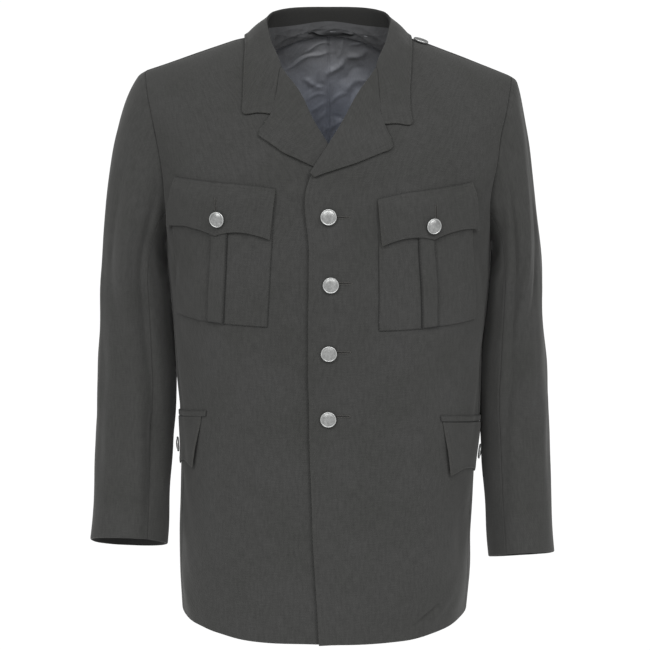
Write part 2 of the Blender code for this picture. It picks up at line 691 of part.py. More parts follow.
def make_collar(scene):
    """Stand, fold and fall: rows go from the neck seam over the fold to the outer edge."""
    half = {}
    for side in (LEFT, RIGHT):
        flip = np.array([side, 1, 1])
        base = np.array([row[:3] for row in COLLAR_NECK]) * MM * flip
        fold = np.array([row[3:] for row in COLLAR_NECK]) * MM * flip
        fall = COLLAR_FALL[side]
        angle = side * np.radians(column(fall, "angle", 1))
        edge = body(angle, column(fall, "height"), WALL + LIFT)
        half[side] = np.stack([base, fold, edge], 1)
    stations = np.concatenate([half[RIGHT], half[LEFT][-2::-1]])
    count = len(COLLAR_NECK)
    front = np.arange(5.0)
    back = np.array(COLLAR_STATIONS)
    at = np.concatenate([front, back, 2 * count - 2 - back[-2::-1], 2 * count - 2 - front[::-1]])
    base, fold, edge = np.moveaxis(smooth(np.arange(len(stations)), stations, at), 1, 0)
    inner, outer = unit(base - fold), unit(edge - fold)
    down = unit(inner + outer)
    spread = unit(outer - (outer * down).sum(-1, keepdims=True) * down)
    stand = fold + down * FOLD_DEPTH - spread * STAND_ASIDE
    fall = fold + down * FOLD_DEPTH + spread * FALL_ASIDE
    rows = [base, (base + stand) / 2, stand, fold, fall]
    for share in FALL_ROWS:
        bulge = spread * FALL_BULGE * share * (1 - share) ** 2
        rows.append(fall + (edge - fall) * share + bulge)
    grid = np.stack(rows)
    for row, lift in enumerate(FALL_LIFTS, start=4):
        grid[row] = keep_clear(grid[row], lift * MM, cloud())
    add_cloth("collar", grid, scene, wall=FACING)


def make_lapels(scene):
    """Rows wrap the edge of the front at the roll line and go on to the lapel's outer edge."""
    share = np.array(LAPEL_COLUMNS)
    for side in (LEFT, RIGHT):
        heights = GORGE_TOP + (BREAK - GORGE_TOP) * share
        edge = body(front_edge(heights, side), heights, side=side)
        normal = torso_normal(front_edge(heights, side), heights)
        along = np.gradient(edge, share, axis=0)
        inward = unit(np.cross(along, normal)) * side
        tucked_in = (1 - step_up(share, *WRAP_ENDS))[:, None]
        turned_in = (1 - step_up(share, *TURN_ENDS))[:, None]
        rows = []
        for (reach_a, level_a), (reach_b, level_b) in zip(LAPEL_WRAP, LAPEL_BESIDE):
            reach = tucked_in * reach_a + (1 - tucked_in) * reach_b
            level = turned_in * level_a + (1 - turned_in) * level_b
            rows.append(edge + (inward * reach + normal * level) * MM)
        table = LAPELS[side]
        knots = column(table, "share", 1)
        end_angle = side * np.radians(np.interp(share, knots, column(table, "angle", 1)))
        end_height = np.interp(share, knots, column(table, "height"))
        start_angle = front_edge(heights, side)
        for part, lift in LAPEL_ROWS:
            angle = start_angle + (end_angle - start_angle) * part
            height = heights + (end_height - heights) * part
            tucked = 1 - FLATTER * step_up(share, *FLATTER_FROM) * (side == RIGHT)
            rows.append(body(angle, height, WALL + lift * MM * tucked, side))
        add_cloth(f"lapel_{SIDE_NAMES[side]}", np.stack(rows), scene, FACING, mirror=side == RIGHT)


def pocket_grid(pocket, side, across, up, level, scallop=0.0):
    """Points of a piece between four corners on the body. A scallop cuts its lower edge as two
    arcs that meet in a point."""
    inner = pocket.inner_low + (pocket.inner_top - pocket.inner_low) * up
    outer = pocket.outer_low + (pocket.outer_top - pocket.outer_low) * up
    angle = np.radians(inner + (outer - inner) * across)
    low = (pocket.low_in + (pocket.low_out - pocket.low_in) * across) * MM
    low = low + scallop * np.abs(np.sin(2 * math.pi * across)) ** SCALLOP_CURVE
    top = (pocket.top_in + (pocket.top_out - pocket.top_in) * across) * MM
    return body(side * angle, low + (top - low) * up, level, side)


def grid_shares(columns, rows):
    return np.meshgrid(np.linspace(0, 1, columns), np.linspace(0, 1, rows))


def make_chest_pockets(scene):
    bag_level = WALL + LIFT
    pleat_level = bag_level + THIN + LIFT
    for side in (LEFT, RIGHT):
        name, mirror = SIDE_NAMES[side], side == RIGHT
        across, up = grid_shares(9, 10)
        bag = pocket_grid(CHEST_POCKETS[side], side, across, up, bag_level)
        add_cloth(f"chest_pocket_{name}", bag, scene, THIN, mirror=mirror)
        across, up = grid_shares(4, 10)
        across = PLEAT_FROM + (PLEAT_TO - PLEAT_FROM) * across
        up = PLEAT_LOW + (PLEAT_HIGH - PLEAT_LOW) * up
        pleat = pocket_grid(CHEST_POCKETS[side], side, across, up, pleat_level)
        add_cloth(f"chest_pleat_{name}", pleat, scene, THIN, mirror=mirror)
        across, up = grid_shares(17, 5)
        level = FLAP_LEVEL + FLAP_STEP * step_up(1 - up, 0, STEP_SHARE)
        flap = pocket_grid(CHEST_FLAPS[side], side, across, up, level, SCALLOP * (1 - up))
        add_cloth(f"chest_flap_{name}", flap, scene, FACING, mirror=mirror)


def make_hip_pockets(scene):
    for side in (LEFT, RIGHT):
        name, mirror = SIDE_NAMES[side], side == RIGHT
        pocket = HIP_FLAPS[side]
        across, up = grid_shares(15, 5)
        flap = pocket_grid(pocket, side, across, up, WALL + LIFT, SCALLOP * (1 - up))
        add_cloth(f"hip_flap_{name}", flap, scene, FACING, mirror=mirror)
        rise = HIP_JET_HEIGHT / MM
        jet = pocket._replace(
            inner_low=pocket.inner_top - JET_INSET,
            outer_low=pocket.outer_top + JET_INSET,
            inner_top=pocket.inner_top - 2 * JET_INSET,
            outer_top=pocket.outer_top,
            low_in=pocket.top_in + JET_GAP,
            low_out=pocket.top_out + JET_GAP,
            top_in=pocket.top_in + rise,
            top_out=pocket.top_out + rise,
        )
        across, up = grid_shares(15, 2)
        strip = pocket_grid(jet, side, across, up, WALL + LIFT)
        add_cloth(f"hip_jet_{name}", strip, scene, THIN, mirror=mirror)


def make_lining(scene):
    """Lining inside the upper back, and the hanging loop at its neck."""
    angles = np.linspace(LINING_EDGE, 2 * math.pi - LINING_EDGE, 19)
    tops = np.minimum(neck_curve(body(angles, 0 * angles)[:, 0]) - 1 * MM, LINING_TOP)
    rise = np.sin(np.linspace(0, math.pi / 2, 12)[:, None]) ** LINING_ROWS
    heights = LINING_BOTTOM + (tops - LINING_BOTTOM) * rise
    deeper = DEEPER_ABOVE * step_up(heights, 4 * LINING_TOP, LINING_TOP)
    inset = THIN + LIFT * (LINING_INSET + deeper)
    add_cloth("lining_back", body(angles + 0 * heights, heights, -inset), scene, THIN, LINING)
    x = np.linspace(LOOP_FROM, LOOP_TO, 9)
    angles = math.pi - angle_at(x, 0 * x)
    bow = LOOP_BOW * np.sin(np.linspace(0, math.pi, 9))
    middle = neck_curve(x) - LOOP_DROP
    rows = [body(angles, middle + half, -LOOP_INSET - bow) for half in (-LOOP_WIDTH / 2, LOOP_WIDTH / 2)]
    add_cloth("hanger_loop", np.stack(rows), scene, THIN, LINING)


def button_profile(size):
    """Half section from the middle of the domed face over the rim to the back."""
    half = size / 2
    return [(half * across, 0.0, size * rise) for across, rise in BUTTON_OUTLINE]


def make_buttons(scene):
    for button in BUTTONS:
        profile = button_profile(button.size)
        edges = [(i, i + 1) for i in range(len(profile) - 1)]
        mesh = bpy.data.meshes.new(button.name)
        mesh.from_pydata(profile, edges, [])
        mesh.materials.append(scene[0][METAL])
        piece = bpy.data.objects.new(button.name, mesh)
        scene[1].objects.link(piece)
        turn = piece.modifiers.new("Turned", "SCREW")
        turn.axis = "Z"
        turn.steps = turn.render_steps = BUTTON_STEPS
        turn.use_merge_vertices = True
        turn.merge_threshold = 0.0001
        turn.use_smooth_shade = True
        angle, height = math.radians(button.angle), np.array(button.height * MM)
        place = Vector(body(np.array(angle), height, button.level * MM, button.side))
        normal = Vector(torso_normal(np.array(angle), height))
        piece.matrix_world = Matrix.Translation(place) @ normal.to_track_quat("Z", "Y").to_matrix().to_4x4()


def main():
    for obj in list(bpy.data.objects):
        bpy.data.objects.remove(obj, do_unlink=True)
    collection = bpy.data.collections.new("Army uniform jacket")
    bpy.context.scene.collection.children.link(collection)
    materials = {name: make_material(name) for name in FINISHES}
    scene = (materials, collection)
    make_fronts(scene)
    make_sides(scene)
    make_backs(scene)
    make_sleeves(scene)
    make_collar(scene)
    make_lapels(scene)
    make_chest_pockets(scene)
    make_hip_pockets(scene)
    make_lining(scene)
    make_buttons(scene)


main()
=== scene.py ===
"""Looks of a grey wool army uniform jacket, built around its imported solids.

Every cloth piece is a closed wall on a grid of points. The points come from two functions: one of
an angle round the body and a height, one of a turn round a sleeve and a drop down it.
"""

import math
from collections import namedtuple

import bpy
import numpy as np
from bpy.props import FloatProperty, FloatVectorProperty, PointerProperty
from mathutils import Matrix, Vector


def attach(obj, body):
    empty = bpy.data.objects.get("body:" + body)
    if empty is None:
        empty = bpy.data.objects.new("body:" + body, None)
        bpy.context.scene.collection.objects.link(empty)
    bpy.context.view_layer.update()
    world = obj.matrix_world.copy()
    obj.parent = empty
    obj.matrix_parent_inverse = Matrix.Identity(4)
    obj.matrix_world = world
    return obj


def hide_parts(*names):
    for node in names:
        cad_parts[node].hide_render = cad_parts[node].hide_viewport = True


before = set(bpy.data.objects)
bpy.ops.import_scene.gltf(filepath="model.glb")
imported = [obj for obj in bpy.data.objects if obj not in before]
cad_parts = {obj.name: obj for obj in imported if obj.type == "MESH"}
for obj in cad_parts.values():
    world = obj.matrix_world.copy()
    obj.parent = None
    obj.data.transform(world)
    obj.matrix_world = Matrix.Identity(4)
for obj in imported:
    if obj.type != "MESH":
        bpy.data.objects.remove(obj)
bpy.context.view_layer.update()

bl_info = {
    "name": "Army uniform jacket",
    "version": (1, 0, 0),
    "blender": (4, 5, 0),
    "location": "3D View > Sidebar > Jacket",
    "description": "Builds a worn wool uniform jacket piece by piece",
    "category": "Add Mesh",
}


def table_of(kind, *values):
    """Table: one named tuple for each row of values."""
    return tuple(kind(*value) for value in values)


MM = 0.001
WALL = 2.0 * MM
FACING = 1.6 * MM
THIN = 1.2 * MM
LIFT = 0.8 * MM
LEFT, RIGHT = 1, -1
SIDE_NAMES = {LEFT: "left", RIGHT: "right"}

# Body of the jacket
HEM = -753 * MM
CHEST = -255 * MM
SHOULDER_SPREAD = 53 * MM
SQUARENESS = 2.35
RIDGE_Y = 12 * MM
NECK_HALF = 88 * MM
NECK_RISE = 45 * MM
NECK_DIP = -35 * MM
SHOULDER_SLOPE = {LEFT: 0.385, RIGHT: 0.345}
# Bend of the shoulder line at the neck, and powers of the curves over the shoulders
SHOULDER_BEND = 12 * MM
SPREAD_POWER, CURL_POWER = 1.3, 2.4
CURL_BEHIND, CURL_AHEAD = 1 / 2.5, 1 / 1.8
# Angles of the seams at the sides, and the share of a side panel's height up to which they are upright
SIDE_SEAM = math.radians(76)
BACK_SEAM = math.radians(113)
UPRIGHT_TO = 0.75

# Outer sizes of the body at each height: half widths to each side, depths to front and back
Section = namedtuple("Section", "height right left front back")
SECTIONS = table_of(
    Section,
    (-753, 192.0, 180.0, 150, 137), (-708, 193.6, 183.4, 149, 134), (-642, 192.0, 184.5, 147, 128),
    (-557, 191.0, 190.0, 143, 115), (-480, 193.0, 195.6, 142, 106), (-391, 198.0, 199.0, 145, 107),
    (-322, 202.7, 205.0, 149, 115), (-255, 208.5, 207.5, 150, 123),
)

# Largest soft folds: the middle of each, its length, half width and lean in degrees, and depth
Fold = namedtuple("Fold", "angle height length width lean depth")
FOLDS = table_of(
    Fold,
    (-50, -450, 150, 9, 10, -2.0), (52, -430, 140, 9, -12, -2.0), (30, -690, 90, 9, 24, 3.0),
    (-31, -660, 120, 10, -8, 2.0), (86, -660, 130, 8, 4, 2.5), (-84, -650, 150, 8, -4, 2.5),
    (128, -620, 200, 9, -3, 4.5), (-133, -600, 190, 8, 5, 4.0), (160, -650, 150, 9, 4, 3.0),
    (146, -330, 120, 8, 16, -3.5), (-143, -300, 110, 8, -18, -3.5),
)

# Armhole seam: turn 0 on the shoulder, 90 in front, 180 under the arm, 270 behind
ARMHOLE_BOTTOM = -262 * MM
Armhole = namedtuple("Armhole", "turn angle")
ARMHOLE = table_of(
    Armhole,
    (0, 58.5), (45, 59.5), (90, 62.5), (135, 70.0), (180, 90.0), (225, 110.0), (270, 118.0), (315, 121.0),
    (360, 121.5),
)

# Front edge and, above the break at -158, roll line of each front: distance across the chest
Edge = namedtuple("Edge", "height left right")
FRONT_EDGES = table_of(
    Edge,
    (-753, -12.0, 24.0), (-600, -20.0, 22.0), (-440, -24.5, 21.0), (-250, -24.0, 21.0), (-158, -22.0, 20.0),
    (-122, 1.5, -1.5), (-89, 22.5, -22.5), (-61, 39.5, -37.5), (-30, 65.0, -64.5), (-8, 82.0, -81.0),
    (0, 90.0, -90.0),
)
BREAK = -158 * MM
LAP = 1.7 * MM
LAP_AT_BREAK = 2.0 * MM
LAP_WIDTH = 26 * MM
LAP_FADE = 50 * MM
LAP_ENDS = -115 * MM, -35 * MM
BREAK_MIDDLE, BREAK_LENGTH = -140 * MM, 45 * MM

# Sleeve sections, outer sizes: reach to the inner and outer side, front and back, and slants
Ring = namedtuple("Ring", "height inner outer front back pitch roll")
SLEEVES = {
    RIGHT: table_of(
        Ring,
        (-305, 207.0, 291.5, -76, 80, 0.00, 0.000), (-350, 203.5, 294.5, -70, 75, 0.00, 0.000),
        (-400, 200.5, 297.5, -65, 69, 0.00, 0.000), (-470, 200.5, 301.0, -61, 57, 0.08, 0.000),
        (-535, 204.5, 305.0, -64, 43, 0.20, 0.010), (-600, 208.0, 307.5, -71, 26, 0.33, 0.030),
        (-652, 210.5, 310.5, -79, 11, 0.42, 0.047),
    ),
    LEFT: table_of(
        Ring,
        (-305, 208.5, 272.0, -78, 82, 0.00, 0.000), (-350, 205.5, 275.5, -73, 79, 0.00, 0.000),
        (-405, 202.0, 281.5, -69, 73, 0.00, 0.000), (-475, 201.5, 287.0, -65, 62, 0.07, 0.000),
        (-545, 203.5, 290.5, -67, 48, 0.18, 0.020), (-615, 207.5, 293.5, -74, 33, 0.28, 0.050),
        (-670, 211.0, 295.5, -82, 21, 0.34, 0.070),
    ),
}
SLEEVE_SQUARENESS = 2.15
# Near the armhole the inner side of a sleeve is pressed flat against the body
PRESSED_FROM, PRESSED_TO = -540 * MM, -380 * MM
PRESSED_SQUARENESS = 2.8
PRESSED_TURN = 0.04
FRONT_SLEEVE_SEAM = 126
BACK_SLEEVE_SEAM = 232
SLEEVE_HEAD_RISE, HEAD_RANGE = 1.6 * MM, (0.2, 1.0)
CAP_SHARE = 0.42
# Start of a sleeve: a point that it closes in on, its gap to the body's edge under the arm, less
# of it above and more of it behind, and the ways it leaves over the shoulder, aside and below
ARMHOLE_CENTRE = (200, 8, -150)
SLEEVE_GAP, LESS_ABOVE, MORE_BEHIND = 2.6 * MM, 1.5 * MM, 2.2 * MM
SLEEVE_HEADS = {RIGHT: (-130, 0, -150), LEFT: (50, 0, -140)}
SLEEVE_ASIDE, SLEEVE_AHEAD, SLEEVE_BELOW = (52, 0, -42), (0, -16, 0), (40, 0, 6)
CAP_ARRIVAL = 0.76
# How far the sleeve's first row turns into the armhole
TURNED_IN = 1.6 * MM
# Share of the drop over which the slack of the cloth starts
SLACK_STARTS = 0.05

# Soft creases across a sleeve: the turn each is at, its drop below the armhole as a share of the
# sleeve, its half widths along both, and its depth
Crease = namedtuple("Crease", "turn drop turn_width drop_width lean depth")
SLEEVE_CREASES = {
    RIGHT: table_of(
        Crease,
        (96, 0.62, 24, 0.045, 0.10, -3.5), (118, 0.74, 20, 0.040, 0.06, -3.0),
        (60, 0.84, 14, 0.120, -0.05, 2.0), (262, 0.55, 26, 0.050, -0.08, -3.5),
        (140, 0.25, 18, 0.090, 0.12, -3.0), (20, 0.30, 16, 0.140, 0.02, 2.0),
    ),
    LEFT: table_of(
        Crease,
        (100, 0.60, 22, 0.045, 0.08, -3.5), (84, 0.72, 24, 0.040, 0.10, -3.0),
        (48, 0.80, 14, 0.130, -0.04, 2.0), (250, 0.57, 26, 0.050, -0.10, -3.5),
        (136, 0.22, 18, 0.090, 0.10, -3.0), (10, 0.34, 16, 0.150, 0.03, 2.0),
    ),
}

# Collar from the gorge seam in front round to the centre back, on the left side: where the stand
# starts and where the collar folds over. The last row is shared by both sides.
Neck = namedtuple("Neck", "base_x base_y base_z fold_x fold_y fold_z")
COLLAR_NECK = table_of(
    Neck,
    (63.0, -61.0, -33.0, 60.0, -67.0, -31.0), (64.0, -56.5, -28.5, 61.0, -63.0, -26.0),
    (68.0, -48.5, -22.0, 64.5, -54.5, -19.0), (72.0, -38.5, -16.5, 68.5, -43.0, -11.5),
    (76.5, -26.0, -11.5, 72.5, -29.0, -4.5), (80.5, -6.0, -2.0, 76.5, -6.0, 9.0),
    (83.0, 16.0, 6.0, 77.5, 18.0, 19.5), (72.5, 45.5, 5.0, 69.0, 48.0, 26.5),
    (43.5, 71.5, 4.5, 42.0, 71.0, 29.5), (0.0, 82.0, 7.0, 0.0, 80.0, 29.5),
)
# Stations behind the shoulder, of which there are more where the neck turns
COLLAR_STATIONS = (4.5, 5.0, 5.25, 5.5, 5.75, 6.0, 6.25, 6.5, 6.75, 7.0, 7.5, 8.0, 8.5, 9.0)
# Roundness of the fold, how far the fall bulges, and how far each of its rows clears the body
FOLD_DEPTH, STAND_ASIDE, FALL_ASIDE = 3 * MM, 1.3 * MM, 1.5 * MM
FALL_BULGE = 16 * MM
# Points on the body round the neck that the fall keeps clear of: degrees in front and behind, with
# their step, and the start and number of their rows
NECK_FRONT, NECK_BACK = (5, 80, 1.5), (100, 180.1, 1.5)
CLOUD_FROM, CLOUD_ROWS = 0.3, 60
FALL_ROWS = (0.2, 0.4, 0.6, 0.8, 1.0)
FALL_LIFTS = (2.3, 2.4, 2.4, 2.3, 2.3, 2.3)
# Outer edge of the collar's fall at the same stations
Fall = namedtuple("Fall", "angle height")
COLLAR_FALL = {
    RIGHT: table_of(
        Fall,
        (16.9, -83.6), (20.8, -83.2), (25.0, -81.6), (24.6, -62.0), (24.0, -42.7), (23.0, -10.0),
        (157.0, -1.0), (161.0, -15.0), (168.5, -39.0), (180.0, -52.0),
    ),
    LEFT: table_of(
        Fall,
        (16.6, -95.2), (20.2, -95.6), (24.5, -94.0), (23.8, -76.0), (23.2, -55.0), (23.0, -15.0),
        (157.5, -1.0), (161.0, -15.0), (168.5, -39.0), (180.0, -52.0),
    ),
}

# Outer edge of each lapel, from the notch to the break: share of the roll line each is opposite
Lapel = namedtuple("Lapel", "share angle height")
LAPELS = {
    RIGHT: table_of(
        Lapel,
        (0.00, 15.3, -86.9), (0.13, 20.7, -107.4), (0.18, 20.2, -111.2), (0.45, 13.8, -128.9),
        (0.75, 4.8, -144.6), (1.00, -3.4, -157.8),
    ),
    LEFT: table_of(
        Lapel,
        (0.00, 14.4, -98.9), (0.13, 19.4, -120.0), (0.18, 18.6, -126.0), (0.50, 9.0, -141.0),
        (0.85, -2.2, -154.6), (1.00, -4.9, -158.4),
    ),
}
GORGE_TOP = -36 * MM
# Across the roll line, in millimetres past the front's edge and out from it: where the lapel wraps
# the edge, and lower down where it lies beside it. Then shares of the way out, and levels there
LAPEL_WRAP = ((-7.0, -0.8), (0.3, -0.8), (1.7, 1.0), (0.4, 3.4))
LAPEL_BESIDE = ((0.9, 0.2), (1.1, 0.9), (1.5, 1.8), (0.4, 3.2))
LAPEL_ROWS = ((0.12, 3.0), (0.3, 2.8), (0.5, 2.5), (0.7, 2.3), (0.86, 2.1), (1.0, 1.7))
# Shares of the roll line between which the lapel stops wrapping the edge, and stops turning in
WRAP_ENDS, TURN_ENDS = (0.34, 0.48), (0.46, 0.66)
# The right lapel lies flatter from the first of these shares on, where the left front covers it
FLATTER, FLATTER_FROM = 0.6, (0.6, 0.8)
LAPEL_COLUMNS = (0.0, 0.065, 0.13, 0.18, 0.27, 0.36, 0.45, 0.55, 0.65, 0.75, 0.85, 0.97)

# Chest pockets: angles of the inner and outer edge at the top and bottom, and their heights
Pocket = namedtuple("Pocket", "inner_top outer_top inner_low outer_low top_in top_out low_in low_out")
CHEST_POCKETS = {
    RIGHT: Pocket(17.5, 59.5, 21.5, 67.0, -188, -178, -343.5, -342.0),
    LEFT: Pocket(16.3, 52.5, 17.5, 60.0, -196, -186, -348.0, -346.5),
}
CHEST_FLAPS = {
    RIGHT: Pocket(16.8, 54.0, 19.4, 65.2, -172, -150, -234.0, -225.5),
    LEFT: Pocket(15.6, 49.5, 17.6, 57.2, -184, -157, -242.0, -227.5),
}
HIP_FLAPS = {
    RIGHT: Pocket(50.5, 107.0, 59.0, 112.0, -469.5, -500.0, -539.5, -566.0),
    LEFT: Pocket(43.6, 101.0, 49.6, 106.0, -472.5, -504.0, -544.5, -570.0),
}
HIP_JET_HEIGHT = 9 * MM
# Shares of a pocket's width and height that its pleat takes, level of a chest flap, its step over
# the pocket's top with the share of its length that this takes, and its scalloped lower edge
PLEAT_FROM, PLEAT_TO = 0.355, 0.525
PLEAT_LOW, PLEAT_HIGH = 0.006, 0.986
FLAP_LEVEL = 3.0 * MM
FLAP_STEP = 3.7 * MM
STEP_SHARE = 0.24
SCALLOP = 7 * MM
SCALLOP_CURVE = 0.8
# A jet is so much longer than its flap at each end, in degrees, and lies so far above its top edge
JET_INSET, JET_GAP = 0.5, 1.0
# The whole width or height of a pocket, for pieces that don't take just a part of it
WHOLE = (0.0, 1.0)

# Lining inside the upper back, and the loop under the collar
LINING_EDGE = math.radians(122)
LINING_BOTTOM = -330 * MM
LINING_TOP = -18 * MM
# How deep it lies, as multiples of the lift, and how much deeper from this height up to its top
LINING_INSET, DEEPER_ABOVE, DEEPER_FROM = 3.3, 3.0, -72 * MM
LINING_ROWS = 0.8
LOOP_FROM, LOOP_TO = 36 * MM, -29 * MM
LOOP_DROP, LOOP_INSET, LOOP_RISE = 2.5 * MM, 8.4 * MM, 4 * MM
# How deep the loop bows, the share of it that it sags, its half sizes and the share of the second
# one that is left in its middle, the flat sizes of its weave, and its turn with the uneven part
LOOP_BOW, LOOP_SAG = 3 * MM, 0.6
LOOP_WIDE, LOOP_DEEP, LOOP_THIN = 2.5 * MM, 0.9 * MM, 0.35
LOOP_LENGTH, LOOP_GIRTH = 60 * MM, 10 * MM
LOOP_TURN, LOOP_UNEVEN = 2 * math.pi * 0.9, 0.9

# Metal buttons: angle and height on the body, wearer's left positive
BUTTON = 20 * MM
SMALL_BUTTON = 19.5 * MM
Button = namedtuple("Button", "name angle height side level size")
BUTTONS = table_of(
    Button,
    ("front_button_1", 0.0, -205, LEFT, 2.7, BUTTON), ("front_button_2", 0.7, -289, LEFT, 2.7, BUTTON),
    ("front_button_3", 0.1, -375, LEFT, 2.7, BUTTON), ("front_button_4", 0.0, -460, LEFT, 2.7, BUTTON),
    ("chest_button_right", -36.6, -208, RIGHT, 9.1, SMALL_BUTTON),
    ("chest_button_left", 34.6, -216.5, LEFT, 9.1, SMALL_BUTTON),
    ("hip_button_right", -82.0, -524, RIGHT, 5.0, SMALL_BUTTON),
    ("hip_button_left", 79.0, -531, LEFT, 5.0, SMALL_BUTTON),
    ("shoulder_button_left", 25.5, -0.6, LEFT, 2.5, SMALL_BUTTON),
)

# Slack of the cloth: wave lengths along and across, in millimetres, with a start and a height
Slack = namedtuple("Slack", "along across start height")
SLACK = table_of(
    Slack,
    (151, 233, 0.3, 0.55), (-97, 141, 1.9, 0.35), (73, -119, 4.1, 0.28), (-61, -83, 2.6, 0.20),
    (43, 67, 5.2, 0.12),
)
BODY_REACH, SLEEVE_REACH, SLEEVE_LENGTH = 190 * MM, 60 * MM, 600 * MM
# Smaller creases of the body: the same columns as the folds. Drag lines run from
# the armholes and the buttons, and the skirt and the back hang in slack ones.
CREASES = table_of(
    Fold,
    (-37.5, -418, 150, 0.9, 3, -1.1), (36.0, -424, 150, 0.9, -3, -1.1), (42, -724, 30, 3.4, 17, -4.6),
    (51, -712, 40, 4.5, 12, 2.6), (-66, -715, 60, 6.0, -6, 2.0), (24, -655, 120, 3.5, 10, -0.9),
    (-22, -690, 110, 4.0, -14, -1.2), (-44, -600, 130, 4.5, 8, -1.3), (60, -610, 120, 4.0, -6, -1.4),
    (12, -333, 16, 9.0, 0, -0.7), (-14, -330, 14, 10.0, 0, -0.6), (11, -418, 18, 8.0, 0, -0.8),
    (-12, -421, 15, 9.0, 0, -0.7), (-10, -250, 14, 8.0, 0, -0.6), (60, -268, 90, 3.0, -12, -1.5),
    (-60, -262, 100, 3.2, 14, -1.6), (57, -120, 110, 2.6, 5, -1.1), (-58, -112, 120, 2.4, -5, -1.2),
    (-46, -395, 60, 4.0, 16, -1.0), (44, -402, 70, 3.6, -14, -1.0), (70, -470, 90, 3.5, 8, -1.3),
    (-72, -455, 110, 3.4, -9, -1.2), (92, -330, 90, 4.0, 10, -1.4), (-94, -350, 100, 4.0, -8, -1.5),
    (134, -250, 100, 3.4, -14, -1.8), (-130, -265, 90, 3.2, 16, -1.9), (140, -200, 80, 3.0, -22, -1.3),
    (-138, -190, 90, 3.0, 20, -1.4), (168, -150, 120, 5.0, -6, -1.2), (-164, -165, 140, 5.0, 5, -1.2),
    (150, -415, 26, 16.0, 0, -1.8), (-152, -425, 24, 18.0, 0, -1.7), (172, -445, 20, 14.0, 0, -1.2),
    (-140, -450, 22, 12.0, 0, -1.1), (174, -640, 160, 4.5, 6, -1.5), (-158, -660, 130, 5.0, -8, -1.8),
    (142, -690, 110, 4.5, 10, -1.6),
)
# Long soft folds down the sleeves: the turn and the share of the drop of each one's middle, its
# half width in degrees and length as a share, the turn it drifts by over the whole drop, its depth
Streak = namedtuple("Streak", "turn drop width length drift depth")
STREAKS = {
    RIGHT: table_of(
        Streak,
        (82, 0.36, 10, 0.26, 62, 4.6), (134, 0.50, 21, 0.42, 0, -7.5), (114, 0.40, 9, 0.30, 24, -5.7),
        (60, 0.40, 9, 0.20, 55, -2.4), (104, 0.80, 10, 0.16, 30, 3.0), (124, 0.76, 8, 0.20, -10, -3.5),
        (42, 0.66, 12, 0.20, -20, -2.2), (270, 0.42, 12, 0.24, 34, -3.5), (242, 0.60, 10, 0.20, -22, 3.0),
        (300, 0.50, 12, 0.26, 16, 2.6), (322, 0.70, 11, 0.16, -30, -2.3), (-4, 0.36, 44, 0.11, 0, -3.0),
        (-4, 0.82, 44, 0.18, 0, -2.4), (180, 0.72, 40, 0.25, 0, 2.4),
    ),
    LEFT: table_of(
        Streak,
        (74, 0.34, 8, 0.22, 150, 4.1), (139, 0.46, 16, 0.44, 0, -3.6), (53, 0.36, 7, 0.20, 140, -2.6),
        (101, 0.30, 9, 0.20, 90, -4.3), (112, 0.62, 9, 0.20, 30, -4.1), (72, 0.80, 11, 0.16, -30, 2.4),
        (30, 0.64, 12, 0.22, 25, -2.0), (266, 0.44, 12, 0.22, 30, -3.4), (238, 0.62, 10, 0.20, -26, 2.8),
        (296, 0.48, 12, 0.24, 18, 2.4), (326, 0.66, 11, 0.18, -22, -2.2), (-4, 0.84, 44, 0.20, 0, -2.8),
        (180, 0.70, 40, 0.28, 0, 5.0),
    ),
}
# Roundness of each sleeve head, in millimetres, and the shares of the drop where it fades
SLEEVE_PUFF = {RIGHT: 2.8, LEFT: 4.4}
PUFF_STARTS, PUFF_ENDS = (0.0, 0.02), (0.10, 0.30)
PUFF_WIDTH = 55
# Padding over the shoulders, and the rise of the hem towards the sides: in millimetres, with the
# distances across the body where each starts and is full
PADDING = {RIGHT: 3.9, LEFT: 3.0}
PADDED_FROM, PADDED_TO = 84 * MM, 122 * MM
HEM_RISE = 6.5
RISES_FROM, RISES_TO = 95 * MM, 185 * MM
HEM_FADE = 90 * MM

